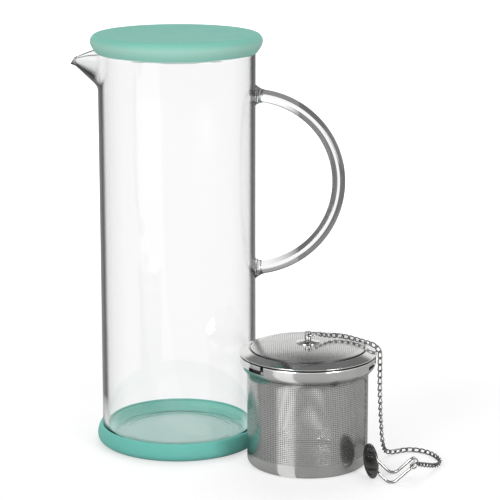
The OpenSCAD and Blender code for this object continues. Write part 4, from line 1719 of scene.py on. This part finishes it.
    def build(self) -> None:
        """Builds and dresses the lid."""
        dress(self.rim(), self.finishes.sheet, Body.INFUSER_LID, Slot.STEEL, "lid_flange")
        # The skirt takes the near-black steel: painted shade in the gap under the flange.
        dress(self.skirt(), self.finishes.inside, Body.INFUSER_LID, Slot.STEEL, "lid_flange")
        dome = self.dome()
        dress(dome, self.finishes.mesh, Body.INFUSER_LID, Slot.PERFORATED, "lid_dome")
        dome.data.materials.append(self.finishes.inside)
        dress(self.studs(), self.finishes.sheet, Body.INFUSER_LID, Slot.STEEL, "bayonet_studs")
        dress(self.washer(), self.finishes.sheet, Body.INFUSER_LID, Slot.STEEL, "finial_washer")
        dress(self.post(), self.finishes.post, Body.CHAIN_EYE, Slot.STEEL, "finial_post")


@dataclass
class CurbChain:
    """Chain of twisted links, each in the place of a link of the solids."""

    finishes: Finishes
    wire: float = 0.4
    half_width: float = 1.18
    half_length: float = 2.62
    half_twist: float = 45
    rolled: int = 9
    settled: int = 24
    table_roll: float = -15
    table_gap: float = 0.01
    along: int = 56
    around: int = 10
    runs: tuple[tuple[str, str, Body], ...] = (
        ("chain_lid", "lid_chain", Body.CHAIN_EYE),
        ("chain_drop", "hanging_chain", Body.CHAIN_HANG),
        ("chain_floor", "table_chain", Body.CHAIN_TAIL),
    )

    def places(self, node: str) -> list[np.ndarray]:
        """Points of each link of a solid, in millimetres.

        Args:
            node: Name of the solid.

        Returns:
            An array of points for each link.
        """
        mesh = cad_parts[node].data
        corners = np.round(np.array([vertex.co[:] for vertex in mesh.vertices]) / MM, 4)
        points, same = np.unique(corners, axis=0, return_inverse=True)
        edges = same.ravel()[np.array([edge.vertices[:] for edge in mesh.edges])]
        group = np.arange(len(points))
        settled = False
        while not settled:
            low = np.minimum(group[edges[:, 0]], group[edges[:, 1]])
            before = group.copy()
            np.minimum.at(group, edges[:, 0], low)
            np.minimum.at(group, edges[:, 1], low)
            group = group[group]
            settled = bool((group == before).all())
        return [points[group == number] for number in np.unique(group)]

    def ordered(self, links: list[np.ndarray], start: np.ndarray) -> list[np.ndarray]:
        """Puts links in the order in which they hang together.

        Args:
            links: Points of each link.
            start: Place next to the first link.

        Returns:
            The links from the first to the last.
        """
        left, here, row = list(links), start, []
        while left:
            gaps = [float(np.linalg.norm(link.mean(axis=0) - here)) for link in left]
            nearest = left.pop(int(np.argmin(gaps)))
            here = nearest.mean(axis=0)
            row.append(nearest)
        return row

    def link_line(self) -> list[np.ndarray]:
        """Middle line of a link, twisted by a quarter turn from end to end.

        Returns:
            Its points, along the link's length, width and thickness.
        """
        straight = self.half_length - self.half_width
        rail = 2 * straight
        whole = 2 * (rail + math.pi * self.half_width)
        line = []
        for i in range(self.along):
            s = whole * i / self.along
            side = 1 if s < whole / 2 else -1
            s = s % (whole / 2)
            if s < rail:
                x, y = s - straight, -self.half_width
            else:
                a = (s - rail) / self.half_width
                x, y = straight + self.half_width * math.sin(a), -self.half_width * math.cos(a)
            x, y = side * x, side * y
            turn = math.radians(self.half_twist) * x / self.half_length
            line.append(np.array((x, y * math.cos(turn), y * math.sin(turn))))
        return line

    def add_link(self, sketch: Sketch, middle: np.ndarray, axes: np.ndarray) -> None:
        """Adds one link, clear of the table.

        Args:
            sketch: Where it goes.
            middle: Its middle.
            axes: Its length, width and thickness directions.
        """
        line = self.link_line()
        first = len(sketch.points)
        rows = []
        for i, here in enumerate(line):
            ahead = line[(i + 1) % self.along] - line[i - 1]
            ahead /= np.linalg.norm(ahead)
            out = np.cross(ahead, (0.0, 0.0, 1.0))
            out /= np.linalg.norm(out)
            up = np.cross(out, ahead)
            spots = [here + self.wire * (x * out + y * up) for x, y in spokes(self.around)]
            rows.append([sketch.point(*(middle + spot @ axes)) for spot in spots])
        sketch.loft(rows, looped=True)
        lift = max(0.0, self.table_gap - min(z for _, _, z in sketch.points[first:]))
        sketch.points[first:] = [(x, y, z + lift) for x, y, z in sketch.points[first:]]

    def build(self) -> None:
        """Builds and dresses the runs, whose links' turns carry on from run to run."""
        here = np.array(middle_of("post_ring"))
        count = 0
        for node, name, body in self.runs:
            sketch = Sketch()
            row = self.ordered(self.places(node), here)
            middles = [link.mean(axis=0) for link in row]
            for i, link in enumerate(row):
                _, _, axes = np.linalg.svd(link - middles[i], full_matrices=False)
                ahead = middles[min(i + 1, len(row) - 1)] - middles[max(i - 1, 0)]
                length = axes[0] if axes[0] @ ahead > 0 else -axes[0]
                width, thick = axes[1], np.cross(length, axes[1])
                way = 1 if count % 2 == 0 else -1
                roll = math.pi / 2 * ease((self.settled - count) / (self.settled - self.rolled))
                turn = way * math.radians(self.half_twist) + roll
                if body is Body.CHAIN_TAIL:
                    # Leaves room for the swing at the lower bend.
                    turn += math.radians(self.table_roll)
                flat = math.cos(turn) * width + math.sin(turn) * thick
                self.add_link(sketch, middles[i], np.array((length, flat, np.cross(length, flat))))
                count += 1
            here = middles[-1]
            dress(sketch.make(name, ROUND_EDGE), self.finishes.links, body, Slot.STEEL, node)


@dataclass
class RimHook:
    """Round tag of the rim hook, and the finishes of the solids that stay."""

    finishes: Finishes
    turn: float = 21
    tag_r: float = 11
    tag_t: float = 1.0
    dish: float = 0.35
    dish_edge: float = 0.3
    dish_r: float = 8.4
    edge_r: float = 9.6
    kept: tuple[str, ...] = ("finial_rivet", "post_ring", "hook_ring", "hook_wire")

    def tag(self) -> Piece:
        """Builds the tag, a little dished, with a rolled edge.

        Returns:
            The piece.
        """
        r, t = self.tag_r, self.tag_t
        corners = [
            (0, t - self.dish, 0),
            (self.dish_r, t - self.dish_edge, 2.0),
            (self.edge_r, t, 0.6),
            (r, t, 0.45),
            (r, 0, 0.45),
            (0, 0, 0),
        ]
        flat = Sketch()
        flat.revolve(rounded(corners), 96)
        sketch = Sketch(middle_of("hook_tag"))
        sketch.faces = flat.faces
        cos, sin = math.cos(math.radians(self.turn)), math.sin(math.radians(self.turn))
        for x, y, z in flat.points:
            u, v = t / 2 - z, -y
            sketch.point(u * cos - v * sin, u * sin + v * cos, x)
        return sketch.make("hook_plate", CRISP_EDGE)

    def build(self) -> None:
        """Builds and dresses the tag, and gives the solids that stay their finish."""
        dress(self.tag(), self.finishes.plate, Body.HOOK, Slot.STEEL, "hook_tag")
        for name in self.kept:
            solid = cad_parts[name]
            solid.data.materials.clear()
            solid.data.materials.append(self.finishes.wire)
            LOG.info("%s keeps its solid in drawn wire", name)


@dataclass(frozen=True)
class Softbox:
    """Square soft lamp that points at the object, and that doesn't show through glass.

    Attributes:
        name: Its name.
        place: Where it stands, in metres.
        power: Its power, in watts.
        size: Width of its face, in metres.
        mirrored: Whether gloss shows it.
        aim: Where it points, in metres.
    """

    name: str
    place: Point
    power: float
    size: float
    mirrored: bool = True
    aim: Point = (0.05, -0.02, 0.1)

    def build(self) -> None:
        """Adds the lamp to the scene."""
        data = bpy.data.lights.new(self.name, "AREA")
        data.energy = self.power
        data.size = self.size
        lamp = bpy.data.objects.new(self.name, data)
        lamp.location = self.place
        lamp.visible_glossy = self.mirrored
        lamp.visible_transmission = False
        way = Vector(self.aim) - Vector(self.place)
        lamp.rotation_euler = way.to_track_quat("-Z", "Y").to_euler()
        bpy.context.scene.collection.objects.link(lamp)


@dataclass
class Studio:
    """Plain pale floor, soft studio light and the camera, in metres.

    Attributes:
        basket: Middle of the basket, in millimetres, whose steel shows the painted reflection strip.
        camera_at: Place of the camera.
        pitch_down: How far it looks down, in radians.
        focal_px: Its focal length, in pixels of the picture.
        image_px: Width of the picture, in pixels.
        sensor: Width of its sensor, in millimetres.
        ambient: Light that the room gives to matte surfaces.
        dim: Light of the ceiling that gloss shows.
        ceiling: Heights in the room over which its white walls turn to ceiling.
        inner_loss: Share of the room's light that rays lose which the glass mirrors within.
        reflection_strip_turns: Bearings on the basket between which the painted reflection strip shows, in
            degrees.
        floor_half: Half of the floor's width.
        floor_drop: How far it lies below the part.
        floor_grey: Its colour.
        glow_from: Distances from the jug's axis over which the floor turns to white.
        glow: How much of the white it shows at these distances.
        lamps: The lamps.
    """

    basket: Point
    camera_at: Point = (0.0464023, -1.3033414, 0.4236762)
    pitch_down: float = 0.224
    focal_px: float = 2070.2051
    image_px: float = 500
    sensor: float = 36
    ambient: float = 0.5
    dim: float = 0.2
    ceiling: Pair = (0.42, 0.5)
    inner_loss: float = 0.9
    reflection_strip_turns: Pair = (13, 30.5)
    floor_half: float = 4.0
    floor_drop: float = 0.00005
    floor_grey: float = 0.5
    glow_from: Pair = (0.25, 0.6)
    glow: Pair = (0.52, 1.0)
    lamps: tuple[Softbox, ...] = (
        Softbox("key_softbox", (-0.8, -1.25, 0.5), 13.0, 0.7),
        Softbox("fill_softbox", (1.0, -1.1, 0.4), 8.5, 0.5),
        Softbox("top_softbox", (0.1, 0.8, 1.4), 10.0, 1.2, mirrored=False),
    )

    def camera(self) -> None:
        """Sets up the camera at the photograph's place."""
        data = bpy.data.cameras.new("camera")
        data.sensor_width = self.sensor
        data.lens = self.focal_px * self.sensor / self.image_px
        data.clip_start = 0.01
        camera = bpy.data.objects.new("camera", data)
        camera.location = self.camera_at
        camera.rotation_euler = (math.pi / 2 - self.pitch_down, 0, 0)
        bpy.context.scene.collection.objects.link(camera)
        bpy.context.scene.camera = camera

    def direct(self, nodes: Nodes, inner_loss: float = 0.0) -> list[Socket]:
        """Shares of rays that come straight from the camera, by gloss, and through glass.

        Args:
            nodes: The tree.
            inner_loss: How much smaller the last share is for rays that the glass mirrors within.

        Returns:
            The three shares, from 0 to 1.
        """
        path = nodes.add("ShaderNodeLightPath").outputs
        fresh = nodes.math("LESS_THAN", path["Diffuse Depth"], 0.5)
        gloss = nodes.math("MULTIPLY", path["Is Glossy Ray"], fresh)
        glass = nodes.math("MULTIPLY", path["Is Transmission Ray"], fresh)
        inner = nodes.math("GREATER_THAN", path["Glossy Depth"], 0.5)
        kept = nodes.math("MULTIPLY_ADD", inner, -inner_loss, 1.0)
        return [path["Is Camera Ray"], gloss, nodes.math("MULTIPLY", glass, kept)]

    def world(self) -> None:
        """Builds the room, white to the camera and through glass, with a dim ceiling for gloss."""
        world = bpy.data.worlds.new("studio")
        bpy.context.scene.world = world
        world.use_nodes = True
        nodes = Nodes(world.node_tree)
        output = nodes.add("ShaderNodeOutputWorld")
        _, _, up = nodes.axes("Generated")
        room = nodes.fade(up, self.ceiling, (1.0, self.dim))
        seen, gloss, glass = self.direct(nodes, self.inner_loss)
        level = nodes.math("MULTIPLY_ADD", nodes.math("SUBTRACT", room, self.ambient), gloss, self.ambient)
        level = nodes.math("MULTIPLY_ADD", nodes.math("ADD", seen, glass), 1 - self.ambient, level)
        back = nodes.add("ShaderNodeBackground")
        back.inputs["Color"].default_value = (1, 1, 1, 1)
        nodes.link(level, back.inputs["Strength"])
        nodes.link(back.outputs[0], output.inputs["Surface"])

    def painted_reflection_strip(self, nodes: Nodes, x: Socket, y: Socket) -> Socket:
        """Share of the floor under a white strip that only gloss rays see, a painted reflection that the
        steel shows as an upright bright band.

        Args:
            nodes: The tree.
            x: Place on the floor across.
            y: Place on the floor along.

        Returns:
            1 on the strip and 0 beside it.
        """
        left, ahead = (nodes.math("SUBTRACT", mm * MM, at) for mm, at in zip(self.basket, (x, y)))
        sides = []
        for turn in self.reflection_strip_turns:
            a = math.radians(turn)
            along = nodes.math("MULTIPLY_ADD", ahead, -math.sin(2 * a), Basket.radius * MM * math.sin(a))
            sides.append(nodes.math("MULTIPLY_ADD", left, math.cos(2 * a), along))
        after = nodes.math("GREATER_THAN", sides[0], 0.0)
        before = nodes.math("LESS_THAN", sides[1], 0.0)
        return nodes.math("MULTIPLY", after, before)

    def floor(self) -> None:
        """Lays the pale floor, which shows white and keeps the shadow."""
        sketch = Sketch((0, 0, -self.floor_drop / MM))
        half = self.floor_half / MM
        corners = [sketch.point((2 * a - 1) * half, (2 * b - 1) * half, 0) for a, b in CELL]
        sketch.faces.append(tuple(corners))
        floor = sketch.make("floor")
        material = bpy.data.materials.new("pale_floor")
        material.use_nodes = True
        nodes = Nodes(material.node_tree)
        output = nodes.add("ShaderNodeOutputMaterial")
        x, y, _ = nodes.axes("Object")
        seen, gloss, glass = self.direct(nodes)
        # Gloss rays also see the painted reflection strip as white.
        shown = nodes.math("ADD", seen, nodes.math("MULTIPLY", gloss, self.painted_reflection_strip(nodes, x, y)))
        glow = nodes.fade(nodes.distance(x, y), self.glow_from, self.glow)
        matt = nodes.add("ShaderNodeBsdfDiffuse")
        matt.inputs["Color"].default_value = (self.floor_grey, self.floor_grey, self.floor_grey, 1)
        white = nodes.add("ShaderNodeEmission")
        nodes.link(nodes.math("MULTIPLY", glow, shown), white.inputs["Strength"])
        lit = nodes.add("ShaderNodeAddShader")
        nodes.link(matt.outputs[0], lit.inputs[0])
        nodes.link(white.outputs[0], lit.inputs[1])
        sheet = nodes.add("ShaderNodeEmission")
        mix = nodes.add("ShaderNodeMixShader")
        for i, source in enumerate((glass, lit.outputs[0], sheet.outputs[0])):
            nodes.link(source, mix.inputs[i])
        nodes.link(mix.outputs[0], output.inputs["Surface"])
        material.cycles.emission_sampling = "NONE"
        floor.data.materials.append(material)

    def build(self) -> None:
        """Builds the studio."""
        bpy.context.scene.view_settings.view_transform = "Standard"
        self.camera()
        self.world()
        self.floor()
        for lamp in self.lamps:
            lamp.build()


def main() -> None:
    """Builds the studio and every sub-assembly."""
    logging.basicConfig(level=logging.INFO, format="%(name)s: %(message)s")
    x, y, _ = middle_of("basket_wall")
    basket = (x, y, 0.0)
    Studio(basket).build()
    finishes = Finishes()
    for part in (
        GlassJug(finishes),
        Boot(finishes),
        JugLid(finishes),
        Basket(finishes, basket),
        InfuserLid(finishes, basket),
        CurbChain(finishes),
        RimHook(finishes),
    ):
        part.build()


if __name__ == "__main__":
    main()
